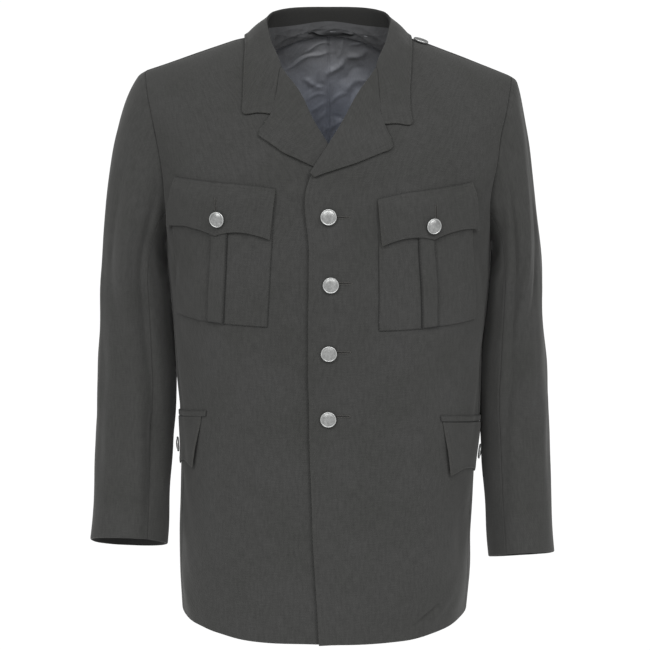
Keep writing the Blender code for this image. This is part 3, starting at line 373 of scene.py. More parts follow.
# Smaller creases of the sleeves: the same columns as the large ones
SLEEVE_WRINKLES = {
    RIGHT: table_of(
        Crease,
        (30, 0.42, 6, 0.20, 0.04, 1.5), (8, 0.55, 7, 0.16, -0.03, -1.4), (52, 0.33, 7, 0.18, 0.05, -1.3),
        (84, 0.55, 16, 0.020, 0.16, -1.6), (110, 0.665, 18, 0.018, 0.10, -1.7),
        (72, 0.70, 14, 0.018, -0.12, -1.2), (96, 0.80, 20, 0.020, 0.08, -1.3),
        (128, 0.88, 14, 0.020, -0.06, -1.0), (150, 0.34, 14, 0.055, 0.18, -0.9),
        (118, 0.20, 10, 0.045, 0.20, -1.6), (70, 0.14, 7, 0.070, 0.08, -1.3),
        (292, 0.24, 9, 0.080, -0.10, -1.5), (268, 0.46, 18, 0.022, -0.14, -1.7),
        (250, 0.60, 20, 0.022, -0.10, -1.6), (286, 0.70, 16, 0.024, 0.12, -1.3),
        (320, 0.40, 7, 0.20, 0.03, 1.3), (344, 0.72, 7, 0.16, -0.04, -1.2),
        (200, 0.50, 22, 0.030, 0.06, -1.4),
    ),
    LEFT: table_of(
        Crease,
        (34, 0.36, 6, 0.22, 0.05, 1.5), (14, 0.60, 7, 0.18, -0.03, -1.3), (58, 0.48, 7, 0.16, 0.05, -1.4),
        (92, 0.52, 16, 0.020, 0.14, -1.6), (106, 0.635, 18, 0.018, 0.12, -1.7),
        (78, 0.77, 16, 0.018, -0.10, -1.3), (112, 0.84, 18, 0.022, 0.07, -1.2),
        (140, 0.32, 14, 0.055, 0.16, -0.9), (112, 0.17, 9, 0.050, 0.18, -1.5),
        (64, 0.12, 7, 0.070, 0.06, -1.3), (286, 0.22, 9, 0.080, -0.10, -1.5),
        (262, 0.49, 18, 0.022, -0.14, -1.7), (244, 0.64, 20, 0.022, -0.08, -1.6),
        (294, 0.76, 15, 0.024, 0.10, -1.2), (324, 0.46, 7, 0.20, 0.02, 1.3),
        (350, 0.66, 7, 0.18, -0.04, -1.2), (206, 0.54, 22, 0.030, 0.06, -1.4),
    ),
}
# Wrinkles of the lining inside the upper back, in millimetres: where each starts and ends as a
# distance across the back and a height, its half width, and its depth into the hollow
Wrinkle = namedtuple("Wrinkle", "x height to_x to_height width depth")
LINING_WRINKLES = table_of(
    Wrinkle,
    (-56, -60, 3, -62, 2.6, 2.2), (-30, -52, 3, -50, 1.8, 1.4), (-47, -57, -14, -56, 2.0, -1.2),
    (-33, -87, -8, -102, 4.0, 3.4), (-29, -100, -3, -98, 3.0, -1.6), (-2, -89, 23, -66, 4.6, 4.6),
    (23, -66, 54, -39, 4.4, 4.2), (12, -95, 48, -61, 4.0, -1.8), (30, -47, 57, -15, 2.4, 2.4),
    (35, -33, 72, -21, 2.2, 2.0), (20, -102, 56, -71, 5.0, 3.6), (43, -92, 31, -122, 4.0, 2.6),
    (-29, -110, -4, -109, 2.6, 2.0), (-24, -125, -4, -121, 2.4, 1.8), (2, -118, 25, -105, 2.8, 2.2),
    (2, -133, 21, -138, 2.6, -1.6), (-16, -141, -3, -133, 2.4, 1.8), (5, -149, 18, -136, 2.4, 2.0),
    (-37, -42, -50, -53, 3.0, 1.8), (7, -69, 10, -47, 1.6, -1.0), (21, -44, 12, -66, 2.0, 1.6),
    (-8, -155, 2, -147, 2.2, 1.6), (-88, -150, -40, -215, 7.0, 3.0), (84, -160, 46, -230, 7.5, 3.2),
    (-20, -190, 30, -240, 7.0, 2.6), (-60, -240, 10, -290, 8.0, 2.6), (60, -250, 25, -300, 7.0, 2.4),
    (-110, -120, -96, -200, 8.0, 2.6), (112, -110, 100, -210, 8.0, 2.8),
)
# How much closer its columns are near the seam in the middle: 0 is even
NEAR_SEAM = 0.6
# The strip under the stand: the neck row it starts at, its rise over the seam and its drop below
# the lining's edge, that edge at distances across the neck, and its wrinkles, whose second wave
# length is a share of the strip's height
STRIP_FROM = 4
STRIP_RISE = 3.6
STRIP_DROP = 9 * MM
LINING_EDGE_X = (0, 20, 40, 60, 75, 85)
LINING_EDGE_Z = (2.5, 1.5, -2.0, -8.5, -13.0, -16.0)
STRIP_WAVES = table_of(
    Slack,
    (83, 0.52, 0.2, 1.0), (-47, 0.41, 1.7, 1.0), (29, -0.9, 3.9, 0.8), (-17, 1.3, 5.1, 0.5),
    (11, -1.9, 2.2, 0.3),
)

# How far the outer edges of the collar and, in millimetres, of the lapels stand off the cloth
COLLAR_OFF = 1.2 * MM
LAPEL_OFF = 0.9

# How far the front edge of a hip flap stands off, the share of its width over which it does, and
# the shares of its length down from the top where that starts and is full
FLAP_OFF, FLAP_OFF_SHARE, FLAP_OFF_FROM = 3.2 * MM, 0.22, (0.05, 0.7)
# How far the front corners of a worn hip flap have moved round the body, in degrees: top and bottom
FLAP_SHIFT = {RIGHT: (2.2, -0.5), LEFT: (0.4, -0.6)}

# How far the edge of the left front stands off the right one, the share of the front's width over
# which it does, and the height over which it fades out below the break
EDGE_LIFT = 2.2 * MM
EDGE_LIFT_SHARE = 0.035
EDGE_LIFT_FADE = 30 * MM

# Rows of the collar that are its stand, how far from the gorge seam the collar and the lapels are
# drawn together, and the share of a chest flap's width where its point is
STAND_ROWS = 3.0
GORGE_REACH = 14 * MM
FLAP_POINT = {RIGHT: 0.42, LEFT: 0.46}

# Flat cut of the cloth that shows in each piece, in millimetres: width, length, its area as a
# share of both, and how it is held
Cut = namedtuple("Cut", "width length share held")

# Thickness of a wall near its edge, as shares of the whole, at these distances in millimetres
EDGE_STEPS = (0.0, 0.35, 0.9, 1.8, 3.2)
EDGE_SHARES = {
    "free": (0.10, 0.62, 0.88, 0.98, 1.0),
    "seam": (0.35, 0.72, 0.90, 0.98, 1.0),
    "deep": (0.05, 0.40, 0.72, 0.92, 1.0),
    "pressed": (0.60, 0.86, 0.95, 0.99, 1.0),
}
EDGE_REACH = 12 * MM
# Even rows start this far past the last step of an edge, as a multiple of that step's distance, and
# above the chest the rows get closer with this power
CLEAR_OF_EDGE, ROW_POWER = 1.3, 1.2

# Worked buttonholes: stitches on each side, how far the slit stays inside each end, and the half
# length, half width and lift of a stitch and of the slit
BUTTONHOLE_STITCHES = 26
SLIT_END = 1.2 * MM
PURL, PURL_WIDTH, PURL_LIFT = 1.1 * MM, 0.42 * MM, 0.25 * MM
SLIT_WIDTH, SLIT_LIFT = 0.5 * MM, 0.15 * MM
# How far a stitch lies over the cloth, as a share of the thread's thickness
THREAD_LIFT = 0.15
# Piece, distance across and height of the middle of each buttonhole, and its turn from the level
BUTTONHOLES = (
    ("front_left", 14.5, -203.5, 0), ("front_left", 16.0, -287.0, 0), ("front_left", 15.0, -373.0, 0),
    ("front_left", 15.0, -458.0, 0), ("chest_flap_right", -138.0, -196.0, 90),
    ("chest_flap_left", 132.0, -203.0, 88),
)

# Camera that took the photograph: lens and distance in metres, and the point it looks at
SENSOR = 36.0
LENS = 137.35
DISTANCE = 3.2
ELEVATION = math.radians(12)
LOOKS_AT = (-0.0045, 0.0, -0.371)
FLOOR = -1.45

SURFACES = {}


def smooth(knots, values, at):
    """Cubic curve through the values at the knots, with slopes taken from the neighbours."""
    knots, values = np.asarray(knots, float), np.asarray(values, float)
    slopes = np.gradient(values, knots, axis=0)
    at = np.clip(at, knots[0], knots[-1])
    i = np.clip(np.searchsorted(knots, at, side="right") - 1, 0, len(knots) - 2)
    gap = knots[i + 1] - knots[i]
    t = (at - knots[i]) / gap
    lined_up = gap.shape + (1,) * (values.ndim - 1)
    gap, t = gap.reshape(lined_up), t.reshape(lined_up)
    start, end = values[i], values[i + 1]
    leave, arrive = slopes[i] * gap, slopes[i + 1] * gap
    bend = t * t * (3 * (end - start) - 2 * leave - arrive)
    return start + t * leave + bend + t**3 * (2 * (start - end) + leave + arrive)


def column(rows, name, scale=MM):
    """One column of a table as an array."""
    return np.array([getattr(row, name) for row in rows]) * scale


def step_up(value, start, end):
    """0 below start, 1 above end, and a smooth rise between them."""
    t = np.clip((value - start) / (end - start), 0, 1)
    return t * t * (3 - 2 * t)


def unit(vectors):
    """Vectors of length one."""
    return vectors / np.maximum(np.linalg.norm(vectors, axis=-1, keepdims=True), 1e-12)


def wrapped(degrees):
    """The same turn between -180 and 180 degrees."""
    return (degrees + 180) % 360 - 180


def running(points):
    """Running length at each point of a line."""
    return np.concatenate([[0], np.cumsum(np.linalg.norm(np.diff(points, axis=0), axis=-1))])


def along_line(at, run, values):
    """Values along a line at some of its running lengths."""
    return np.stack([np.interp(at, run, one) for one in values.T], -1)


def ridge(x, behind):
    """Height of the shoulder line: level at the neck, then sloping. It rises behind the neck."""
    slope = np.where(x > 0, SHOULDER_SLOPE[LEFT], SHOULDER_SLOPE[RIGHT])
    past = np.abs(x) - NECK_HALF
    fall = slope * (past + np.sqrt(past**2 + SHOULDER_BEND**2)) / 2
    return NECK_RISE * np.clip(1 - (x / NECK_HALF) ** 2, 0, None) ** 2 * behind - fall


def half_width(side, height):
    """Half width of the inner face on one side, wider towards the shoulder line."""
    low = np.minimum(height, CHEST)
    up = np.clip(1 - height / CHEST, 0, 1)
    heights = column(SECTIONS, "height")
    left = smooth(heights, column(SECTIONS, "left"), low)
    right = smooth(heights, column(SECTIONS, "right"), low)
    return np.where(side > 0, left, right) - WALL + SHOULDER_SPREAD * up**SPREAD_POWER


def fold_depth(angle, height):
    """How far the folds stand out: each one is a soft hump along a slanted line."""
    total = 0
    for fold in FOLDS + CREASES:
        along = (height - fold.height * MM) / (fold.length * MM / 2)
        middle = fold.angle + fold.lean * along / 2
        off = wrapped(np.degrees(angle) - middle)
        total = total + fold.depth * MM * np.exp(-((off / fold.width) ** 2) - along**2)
    return total


def torso(angle, height):
    """Inner face of the body: below the chest a superellipse ring at each height, above it the
    same ring drawn in to the shoulder line along a quarter superellipse. Angle 0 is the centre
    front, positive to the left and 180 degrees behind."""
    angle, height = np.broadcast_arrays(np.asarray(angle, float), np.asarray(height, float))
    up = np.clip(1 - height / CHEST, 0, 1)
    low = np.minimum(height, CHEST)
    sine, cosine = np.sin(angle), np.cos(angle)
    reach = (np.abs(sine) ** SQUARENESS + np.abs(cosine) ** SQUARENESS) ** (1 / SQUARENESS)
    heights = column(SECTIONS, "height")
    behind = cosine < 0
    front = smooth(heights, column(SECTIONS, "front"), low)
    back = smooth(heights, column(SECTIONS, "back"), low)
    depth = (np.where(behind, back, front) - WALL) * cosine / reach
    curl = np.clip(1 - up**CURL_POWER, 0, 1) ** np.where(behind, CURL_BEHIND, CURL_AHEAD)
    stand_out = fold_depth(angle, height) + slack_round(angle, height, BODY_REACH)
    x = sine / reach * half_width(np.sign(sine), height)
    y = RIDGE_Y * (1 - curl) - depth * curl
    z = np.where(up > 0, CHEST + (ridge(x, behind) - CHEST) * up, height) + raised(x, height)
    return np.stack([x + stand_out * sine, y - stand_out * cosine, z], -1)


def raised(x, height):
    """How far the cloth stands up over the padded shoulders, and at the hem towards the sides."""
    padding = np.where(x > 0, PADDING[LEFT], PADDING[RIGHT]) * step_up(np.abs(x), PADDED_FROM, PADDED_TO)
    hem = HEM_RISE * step_up(np.abs(x), RISES_FROM, RISES_TO)
    return (padding * step_up(height, CHEST / 2, 0) + hem * (1 - step_up(height, HEM, HEM + HEM_FADE))) * MM


def torso_normal(angle, height):
    """Outward direction: the cross product of short steps round the body and up it."""
    turn, rise = math.radians(0.2), 0.5 * MM
    across = torso(angle + turn, height) - torso(angle - turn, height)
    top = np.minimum(height + rise, 0)
    upward = torso(angle, top) - torso(angle, top - 2 * rise)
    return unit(np.cross(across, upward))


def angle_at(x, height):
    """Angle on the front of the body at a distance across it."""
    across = np.clip(x / half_width(np.sign(x), height), -1, 1)
    deep = (1 - np.abs(across) ** SQUARENESS) ** (1 / SQUARENESS)
    return np.arctan2(across, deep)


def lap(angle, height, side):
    """Offset that parts the two fronts where the left one laps over the right one."""
    x = torso(angle, height)[..., 0]
    width = 1 - step_up(np.abs(x), LAP_WIDTH, LAP_WIDTH + LAP_FADE)
    below_neck = 1 - step_up(height, *LAP_ENDS)
    near_break = np.exp(-(((height - BREAK_MIDDLE) / BREAK_LENGTH) ** 2))
    return side * width * below_neck * (LAP + LAP_AT_BREAK * near_break)


def body(angle, height, level=0.0, side=0):
    """Point on the inner face of the body, or that far outside it. A side adds its front's lap."""
    offset = level + (lap(angle, height, side) if side else 0)
    return torso(angle, height) + torso_normal(angle, height) * np.asarray(offset)[..., None]


def rows_above(count, start=0.0):
    """Heights from the chest to the shoulder line, closer and closer. A start leaves out the lowest."""
    return CHEST * (1 - np.sin(np.linspace(start, math.pi / 2, count)) ** (1 / ROW_POWER))


def armhole_turn(height, behind=False):
    """Turn along the armhole seam at a height."""
    turn = np.degrees(np.arccos(np.clip(1 - 2 * height / ARMHOLE_BOTTOM, -1, 1)))
    return 360 - turn if behind else turn


def armhole(turn):
    """Angle and height of the armhole seam on the body."""
    turn = np.where(turn < 0, turn + 360, turn)
    angle = smooth(column(ARMHOLE, "turn", 1), column(ARMHOLE, "angle", 1), turn)
    height = ARMHOLE_BOTTOM * (1 - np.cos(np.radians(turn))) / 2
    return np.radians(angle), height


def outer_edge(height):
    """Angle of a front's outer edge: side seam, then armhole."""
    angle = armhole(armhole_turn(height))[0]
    return np.where(height < ARMHOLE_BOTTOM, SIDE_SEAM, np.minimum(angle, SIDE_SEAM))


def back_edge(height):
    """Angle of a back's outer edge: side seam, then armhole."""
    angle = armhole(armhole_turn(height, behind=True))[0]
    return np.where(height < ARMHOLE_BOTTOM, BACK_SEAM, np.maximum(angle, BACK_SEAM))


def front_edge(height, side):
    """Angle of a front's free edge, and above the break of its roll line."""
    edge = smooth(column(FRONT_EDGES, "height"), column(FRONT_EDGES, SIDE_NAMES[side]), height)
    return angle_at(edge, height)


def armhole_turn_of_seam(seam):
    """Turn at which the armhole crosses a seam's angle."""
    turns = np.linspace(100, 260, 1601)
    return float(np.interp(seam, armhole(turns)[0], turns))


def neck_curve(x):
    """Height of the back neck seam on the body."""
    return NECK_DIP * np.clip(1 - (x / NECK_HALF) ** 2, 0, None) ** 1.6


def ring_points(side, turn, height):
    """Points round the sleeve: a superellipse whose plane slants with pitch and roll. Near the
    armhole its inner half is squarer."""
    rows = SLEEVES[side][::-1]
    heights = column(rows, "height")
    inner, outer, front, back = (
        smooth(heights, column(rows, name), height) for name in ("inner", "outer", "front", "back")
    )
    pitch = smooth(heights, column(rows, "pitch", 1), height)
    roll = smooth(heights, column(rows, "roll", 1), height)
    middle_x, middle_y = (inner + outer) / 2, (front + back) / 2
    sine, cosine = np.sin(np.radians(turn)), np.cos(np.radians(turn))
    pressed = step_up(height, PRESSED_FROM, PRESSED_TO)
    power = SLEEVE_SQUARENESS + PRESSED_SQUARENESS * pressed * (cosine < 0)
    reach = (np.abs(sine) ** power + np.abs(cosine) ** power) ** (1 / power)
    ahead = sine / reach * ((back - front) / 2 - WALL)
    across = cosine / reach * ((outer - inner) / 2 - WALL) + PRESSED_TURN * pressed * ahead
    z = height + pitch * ahead + roll * across
    return np.stack([side * (middle_x + across), middle_y - ahead, z], -1)


def sleeve_top(side, turn):
    """First points of the sleeve along the armhole, just clear of the body's edge."""
    angle, height = armhole(turn)
    edge = body(side * angle, height)
    centre = np.array(ARMHOLE_CENTRE) * (side, 1, 1) * MM
    across = unit(centre - edge)
    top = np.cos(np.radians(turn))
    head = SLEEVE_HEAD_RISE * step_up(top, *HEAD_RANGE)
    behind = np.clip(-np.sin(np.radians(turn)), 0, 1)
    gap = SLEEVE_GAP - LESS_ABOVE * top + MORE_BEHIND * behind
    out = torso_normal(side * angle, height)
    return edge + across * gap[..., None] + out * head[..., None]


def sleeve_heading(side, turn):
    """How the sleeve leaves the armhole: over the shoulder, sideways, or just past the edge."""
    top = np.cos(np.radians(turn))[..., None]
    ahead = np.sin(np.radians(turn))[..., None]
    over, under = np.clip(top, 0, 1) ** 1.5, np.clip(-top, 0, 1) ** 1.5
    flip = np.array([side, 1, 1])
    sideways = SLEEVE_ASIDE * flip + ahead * SLEEVE_AHEAD
    past = SLEEVE_BELOW * flip
    shoulder = np.array(SLEEVE_HEADS[side])
    return (over * shoulder + under * past + (1 - over - under) * sideways) * MM


def sleeve_out(side, turn):
    """Level direction away from the middle of a sleeve."""
    around = np.radians(turn)
    return np.stack([side * np.cos(around), -np.sin(around), 0 * around], -1)


def sleeve_creases(side, turn, drop):
    """How far the creases of a sleeve stand out: each is a hump along a line that leans down it."""
    total = 0
    for crease in SLEEVE_CREASES[side] + SLEEVE_WRINKLES[side]:
        off = wrapped(turn - crease.turn)
        along = (drop - crease.drop - crease.lean * off / 90) / crease.drop_width
        total = total + crease.depth * MM * np.exp(-((off / crease.turn_width) ** 2) - along**2)
    return total


def sleeve(side, turn, drop):
    """Point on the sleeve. The first share of the drop bends from the armhole to the first ring
    as a cubic, and the rest follows the rings to the cuff."""
    rings = SLEEVES[side]
    first, last = rings[0].height * MM, rings[-1].height * MM
    t = np.clip(drop / CAP_SHARE, 0, 1)[..., None]
    below = np.clip((drop - CAP_SHARE) / (1 - CAP_SHARE), 0, 1)
    start, end = sleeve_top(side, turn), ring_points(side, turn, first + 0 * turn)
    under = ring_points(side, turn, first - 1 * MM + 0 * turn) - end
    pull = np.linalg.norm(end - start, axis=-1, keepdims=True)
    leave, arrive = sleeve_heading(side, turn), unit(under) * pull * CAP_ARRIVAL
    cap = (
        (1 + 2 * t) * (1 - t) ** 2 * start
        + t * (1 - t) ** 2 * leave
        + t * t * (3 - 2 * t) * end
        + t * t * (t - 1) * arrive
    )
    point = np.where(t < 1, cap, ring_points(side, turn, first + (last - first) * below))
    return point + sleeve_out(side, turn) * np.asarray(sleeve_creases(side, turn, drop))[..., None]


def cloud():
    """Close points on the outer face of the body round the neck, with their normals."""
    angles = np.radians(np.concatenate([np.arange(*NECK_FRONT), np.arange(*NECK_BACK)]))
    heights = rows_above(CLOUD_ROWS, CLOUD_FROM)
    angle, height = np.meshgrid(np.concatenate([-angles, angles]), heights)
    normal = torso_normal(angle, height)
    points = torso(angle, height) + normal * WALL
    return points.reshape(-1, 3), normal.reshape(-1, 3)


def keep_clear(points, gap, around):
    """Moves points out along the body's normal until they are that far from its outer face."""
    surface, normals = around
    flat = points.reshape(-1, 3)
    nearest = ((flat[:, None] - surface[None]) ** 2).sum(-1).argmin(1)
    height = ((flat - surface[nearest]) * normals[nearest]).sum(-1)
    push = np.clip(gap - height, 0, None)
    return (flat + normals[nearest] * push[:, None]).reshape(points.shape)


def pocket_grid(pocket, side, across, up, level):
    """Points of a piece between four corners on the body: straight lines of angle and height."""
    inner = pocket.inner_low + (pocket.inner_top - pocket.inner_low) * up
    outer = pocket.outer_low + (pocket.outer_top - pocket.outer_low) * up
    angle = np.radians(inner + (outer - inner) * across)
    low = (pocket.low_in + (pocket.low_out - pocket.low_in) * across) * MM
    top = (pocket.top_in + (pocket.top_out - pocket.top_in) * across) * MM
    return body(side * angle, low + (top - low) * up, level, side)


def normals_of(grid):
    """Unit normals of a grid: the step along the columns crossed with the step along the rows."""
    return unit(np.cross(np.gradient(grid, axis=1), np.gradient(grid, axis=0)))


def shares(count, size):
    """Shares from 0 to 1, even but for closer ones at both ends, where an edge is rounded."""
    close = np.array(EDGE_STEPS) * MM / size
    return np.concatenate([close, np.linspace(close[-1], 1 - close[-1], count)[1:-1], 1 - close[::-1]])


def edge_factor(count, start, end):
    """Share of the wall's thickness at each of count rows or columns, thin at a rounded end."""
    factor = np.ones(count)
    factor[: len(EDGE_STEPS)] = EDGE_SHARES[start]
    factor[-len(EDGE_STEPS) :] = EDGE_SHARES[end][::-1]
    return factor


def edge_distance(flat, ends, kind):
    """Distance from the nearest edge of one kind, as a share of the reach of the edge tones: wear and a
    painted highlight at free edges, painted shade at seams and folds.
    """
    u, v = flat[..., 0], flat[..., 1]
    places = {"l": u, "r": u[:, -1:] - u, "b": v, "t": v[-1:] - v}
    near = [places[edge] for edge in ends if ends[edge] == kind]
    return np.minimum.reduce([np.full(u.shape, EDGE_REACH), *near]) / EDGE_REACH


def laid_out(grid):
    """Flat place of each point in metres: the mean running length along columns and rows."""
    across = np.linalg.norm(np.diff(grid, axis=1), axis=-1).mean(0)
    up = np.linalg.norm(np.diff(grid, axis=0), axis=-1).mean(1)
    u = np.concatenate([[0], np.cumsum(across)])
    v = np.concatenate([[0], np.cumsum(up)])
    return np.stack(np.meshgrid(u, v), -1)


def grid_quads(rows, columns, first=0):
    """Point numbers of the four-sided faces of a grid."""
    index = first + np.arange(rows * columns).reshape(rows, columns)
    return np.stack([index[:-1, :-1], index[:-1, 1:], index[1:, 1:], index[1:, :-1]], -1).reshape(-1, 4)


def build_mesh(name, points, faces, flat=None, values=(), slots=None, materials=()):
    """Mesh object from arrays: points, arrays of faces with equally many corners, flat places for
    the weave, named values at the points, and a material number for each face."""
    mesh = bpy.data.meshes.new(name)
    corners = np.concatenate([part.ravel() for part in faces]).astype(np.int32)
    sizes = np.concatenate([np.full(len(part), part.shape[1], np.int32) for part in faces])
    mesh.vertices.add(len(points))
    mesh.vertices.foreach_set("co", points.astype(np.float32).ravel())
    mesh.loops.add(len(corners))
    mesh.loops.foreach_set("vertex_index", corners)
    mesh.polygons.add(len(sizes))
    mesh.polygons.foreach_set("loop_start", np.cumsum(sizes, dtype=np.int32) - sizes)
    for one in materials:
        mesh.materials.append(one)
    if slots is not None:
        mesh.polygons.foreach_set("material_index", slots.astype(np.int32))
    if flat is not None:
        layer = mesh.uv_layers.new(name="weave")
        layer.data.foreach_set("uv", flat[corners].astype(np.float32).ravel())
    mesh.update(calc_edges=True)
    mesh.validate()
    mesh.shade_smooth()
    for attribute, value in dict(values).items():
        mesh.attributes.new(attribute, "FLOAT", "POINT").data.foreach_set("value", value.astype(np.float32))
    piece = bpy.data.objects.new(name, mesh)
    bpy.context.scene.collection.objects.link(piece)
    return piece


def finish_piece(piece, slot, *nodes):
    """Lets a piece ride on the jacket and hides the nodes that it replaces. Its slot is not used."""
    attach(piece, "root")
    if nodes:
        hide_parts(*nodes)
    return piece


def cloth(name, inner, wall, materials, ends, slot="wool", node=True, faced=(0, 0, 0, 0)):
    """Closed wall of cloth: the inner grid, the same grid moved out by the wall, thinner towards
    its ends, and a rim that joins both. Ends names the kind of each of its edges. Inside, it is
    faced with the first material that far from the left, right, bottom and top edge, in metres,
    and with the second one elsewhere."""
    rows, columns = inner.shape[:2]
    along = edge_factor(columns, ends["l"], ends["r"])
    factor = edge_factor(rows, ends["b"], ends["t"])[:, None] * along
    outer = inner + normals_of(inner) * (wall * factor)[..., None]
    count = rows * columns
    outside = grid_quads(rows, columns, count)
    inside = grid_quads(rows, columns)[:, ::-1]
    index = np.arange(count).reshape(rows, columns)
    ring = np.concatenate([index[0, :-1], index[:-1, -1], index[-1, :0:-1], index[:0:-1, 0]])
    after = np.roll(ring, -1)
    rim = np.stack([ring, after, after + count, ring + count], -1)
    flat = laid_out(outer)
    u, v = flat[:-1, :-1, 0], flat[:-1, :-1, 1]
    width, length = flat[0, -1, 0], flat[-1, 0, 1]
    lined = (u >= faced[0]) & (u <= width - faced[1]) & (v >= faced[2]) & (v <= length - faced[3])
    lined = lined.ravel() & (len(materials) > 1)
    slots = np.concatenate([np.zeros(len(outside)), lined, np.zeros(len(rim))])
    points = np.concatenate([inner.reshape(-1, 3), outer.reshape(-1, 3)])
    both = np.concatenate([flat.reshape(-1, 2)] * 2)
    values = {kind: np.tile(edge_distance(flat, ends, kind).ravel(), 2) for kind in EDGE_SHARES}
    piece = build_mesh(name, points, (outside, inside, rim), both, values, slots, materials)
    SURFACES[name] = outer
    finish_piece(piece, slot, *([name] if node else []))
    return piece


def edges_of(left, right, bottom, top):
    """Kinds of a piece's edges by their letters."""
    return {"l": left, "r": right, "b": bottom, "t": top}


def slack(along, across):
    """Low waves in two directions, as cloth that was worn has: a sum of sines."""
    total = 0
    for wave in SLACK:
        phase = 2 * math.pi * (along / (wave.along * MM) + across / (wave.across * MM)) + wave.start
        total = total + wave.height * MM * np.sin(phase)
    return total


def slack_round(angle, along, reach):
    """The same waves round a tube of that radius, meeting at the same depth where it closes."""
    return slack(reach * np.sin(angle), along + reach * np.cos(angle))


def resample(grid, rows, columns):
    """Finer grid through the points of a coarse one: a cubic curve along the rows, then one along
    the columns. Rows and columns are given as places in the coarse grid."""
    along = smooth(np.arange(grid.shape[1]), np.moveaxis(grid, 1, 0), columns)
    return smooth(np.arange(grid.shape[0]), np.moveaxis(along, 1, 0), rows)


def on_surface(name, up, across):
    """Points and normals of a piece's outer face at shares of its length and width."""
    grid = SURFACES[name]
    flat = laid_out(grid)
    rows = np.interp(up, flat[:, 0, 1] / flat[-1, 0, 1], np.arange(grid.shape[0]))
    columns = np.interp(across, flat[0, :, 0] / flat[0, -1, 0], np.arange(grid.shape[1]))
    low_row = np.clip(rows.astype(int), 0, grid.shape[0] - 2)
    low_column = np.clip(columns.astype(int), 0, grid.shape[1] - 2)
    r, c = (rows - low_row)[..., None], (columns - low_column)[..., None]

    def mixed(values):
        top = values[low_row + 1, low_column] * (1 - c) + values[low_row + 1, low_column + 1] * c
        low = values[low_row, low_column] * (1 - c) + values[low_row, low_column + 1] * c
        return low * (1 - r) + top * r

    return mixed(grid), unit(mixed(normals_of(grid)))


def heights_of(low, high):
    """Heights of the rows: even up to the chest, then closer towards the shoulder line, and closest
    at the hem and at the shoulder line, where an edge is rounded."""
    rows = np.concatenate([np.linspace(HEM, CHEST, low), rows_above(high)[1:]])
    close = np.array(EDGE_STEPS[1:]) * MM
    clear = close[-1] * CLEAR_OF_EDGE
    inside = rows[(rows > HEM + clear) & (rows < -clear)]
    return np.concatenate([[HEM], HEM + close, inside, -close[::-1], [0.0]])


def front_grid(side):
    """A front from its free edge to the side seam and armhole. The left one's edge stands off."""
    heights = heights_of(110, 90)
    start, end = front_edge(heights, side), side * outer_edge(heights)
    across = shares(76, 0.25)
    angles = start[:, None] + (end - start)[:, None] * across
    lifted = EDGE_LIFT * np.exp(-((across / EDGE_LIFT_SHARE) ** 2)) * (side == LEFT)
    lifted = lifted * (1 - step_up(heights[:, None], BREAK - EDGE_LIFT_FADE, BREAK))
    return body(angles, heights[:, None], lifted, side)


def side_grid(side):
    """A side panel between two upright seams, up to the lower part of the armhole."""
    turns = armhole_turn_of_seam(SIDE_SEAM), armhole_turn_of_seam(BACK_SEAM)
    across = shares(26, 0.085)
    seam_angles, seam_tops = armhole(turns[0] + (turns[1] - turns[0]) * across)
    up = shares(130, 0.5)[:, None]
    heights = HEM + (seam_tops - HEM)[None, :] * up
    lean = SIDE_SEAM + (BACK_SEAM - SIDE_SEAM) * across
    spread = lean + (seam_angles - lean) * step_up(up, UPRIGHT_TO, 1.0)
    return body(side * spread, heights)


def back_grid(side):
    """A back from its side seam and armhole to the centre back, up to the neck seam."""
    share = shares(70, 0.23)
    top_angle = armhole(np.array(360.0))[0]
    tops = top_angle + (math.pi - top_angle) * share
    top_heights = neck_curve(body(tops, 0 * tops)[:, 0])
    up = (heights_of(100, 80) - HEM) / -HEM
    heights = HEM + (top_heights - HEM)[None, :] * up[:, None]
    edge = back_edge(heights)
    return body(side * (edge + (math.pi - edge) * share), heights)


def turned(grid, side):
    """Columns in order from the wearer's right to the left, for a normal that points out."""
    return grid[:, ::-1] if side == RIGHT else grid


def size_of(name):
    """One of the jacket's sizes in metres."""
    return round(getattr(bpy.context.scene.jacket_sizes, name), 7)


class Jacket_OT_body(bpy.types.Operator):
    """Fronts, side panels and backs, each a closed wall with rounded seams"""

    bl_idname = "jacket.body"
    bl_label = "Body panels"

    def execute(self, context):
        both = material("wool"), material("lining")
        facing, turn_up = size_of("facing"), size_of("turn_up")
        for side in (LEFT, RIGHT):
            name = SIDE_NAMES[side]
            ends = edges_of(*("free", "seam")[::side], "free", "seam")
            faced = (*(facing, 0)[::side], turn_up, 0)
            cloth(f"front_{name}", turned(front_grid(side), side), WALL, both, ends, faced=faced)
            ends = edges_of("seam", "seam", "free", "seam")
            for panel, grid in (("side", side_grid(side)), ("back", back_grid(side))):
                cloth(f"{panel}_{name}", turned(grid, side), WALL, both, ends, faced=(0, 0, turn_up, 0))
        return {"FINISHED"}


def sleeve_grid(side, start, end, count):
    """Rows down the sleeve from the armhole, with one row more that turns into the armhole."""
    low_rows = shares(90, 0.35)[len(EDGE_STEPS) + 1 :]
    drops = np.concatenate([np.linspace(0, CAP_SHARE, 80), CAP_SHARE + (1 - CAP_SHARE) * low_rows])
    turn = start + (end - start) * shares(count, 0.12 if count < 60 else 0.26)
    turns, drop = np.broadcast_arrays(turn[None, :], drops[:, None])
    loose = slack_round(np.radians(turns), drop * SLEEVE_LENGTH, SLEEVE_REACH)
    loose = loose * step_up(drop, 0, SLACK_STARTS) + streaks(side, turns, drop)
    grid = sleeve(side, turns, drop) + sleeve_out(side, turns) * loose[..., None]
    angle, height = armhole(turn)
    seam = body(side * angle, height, -TURNED_IN)
    return np.concatenate([seam[None], grid])


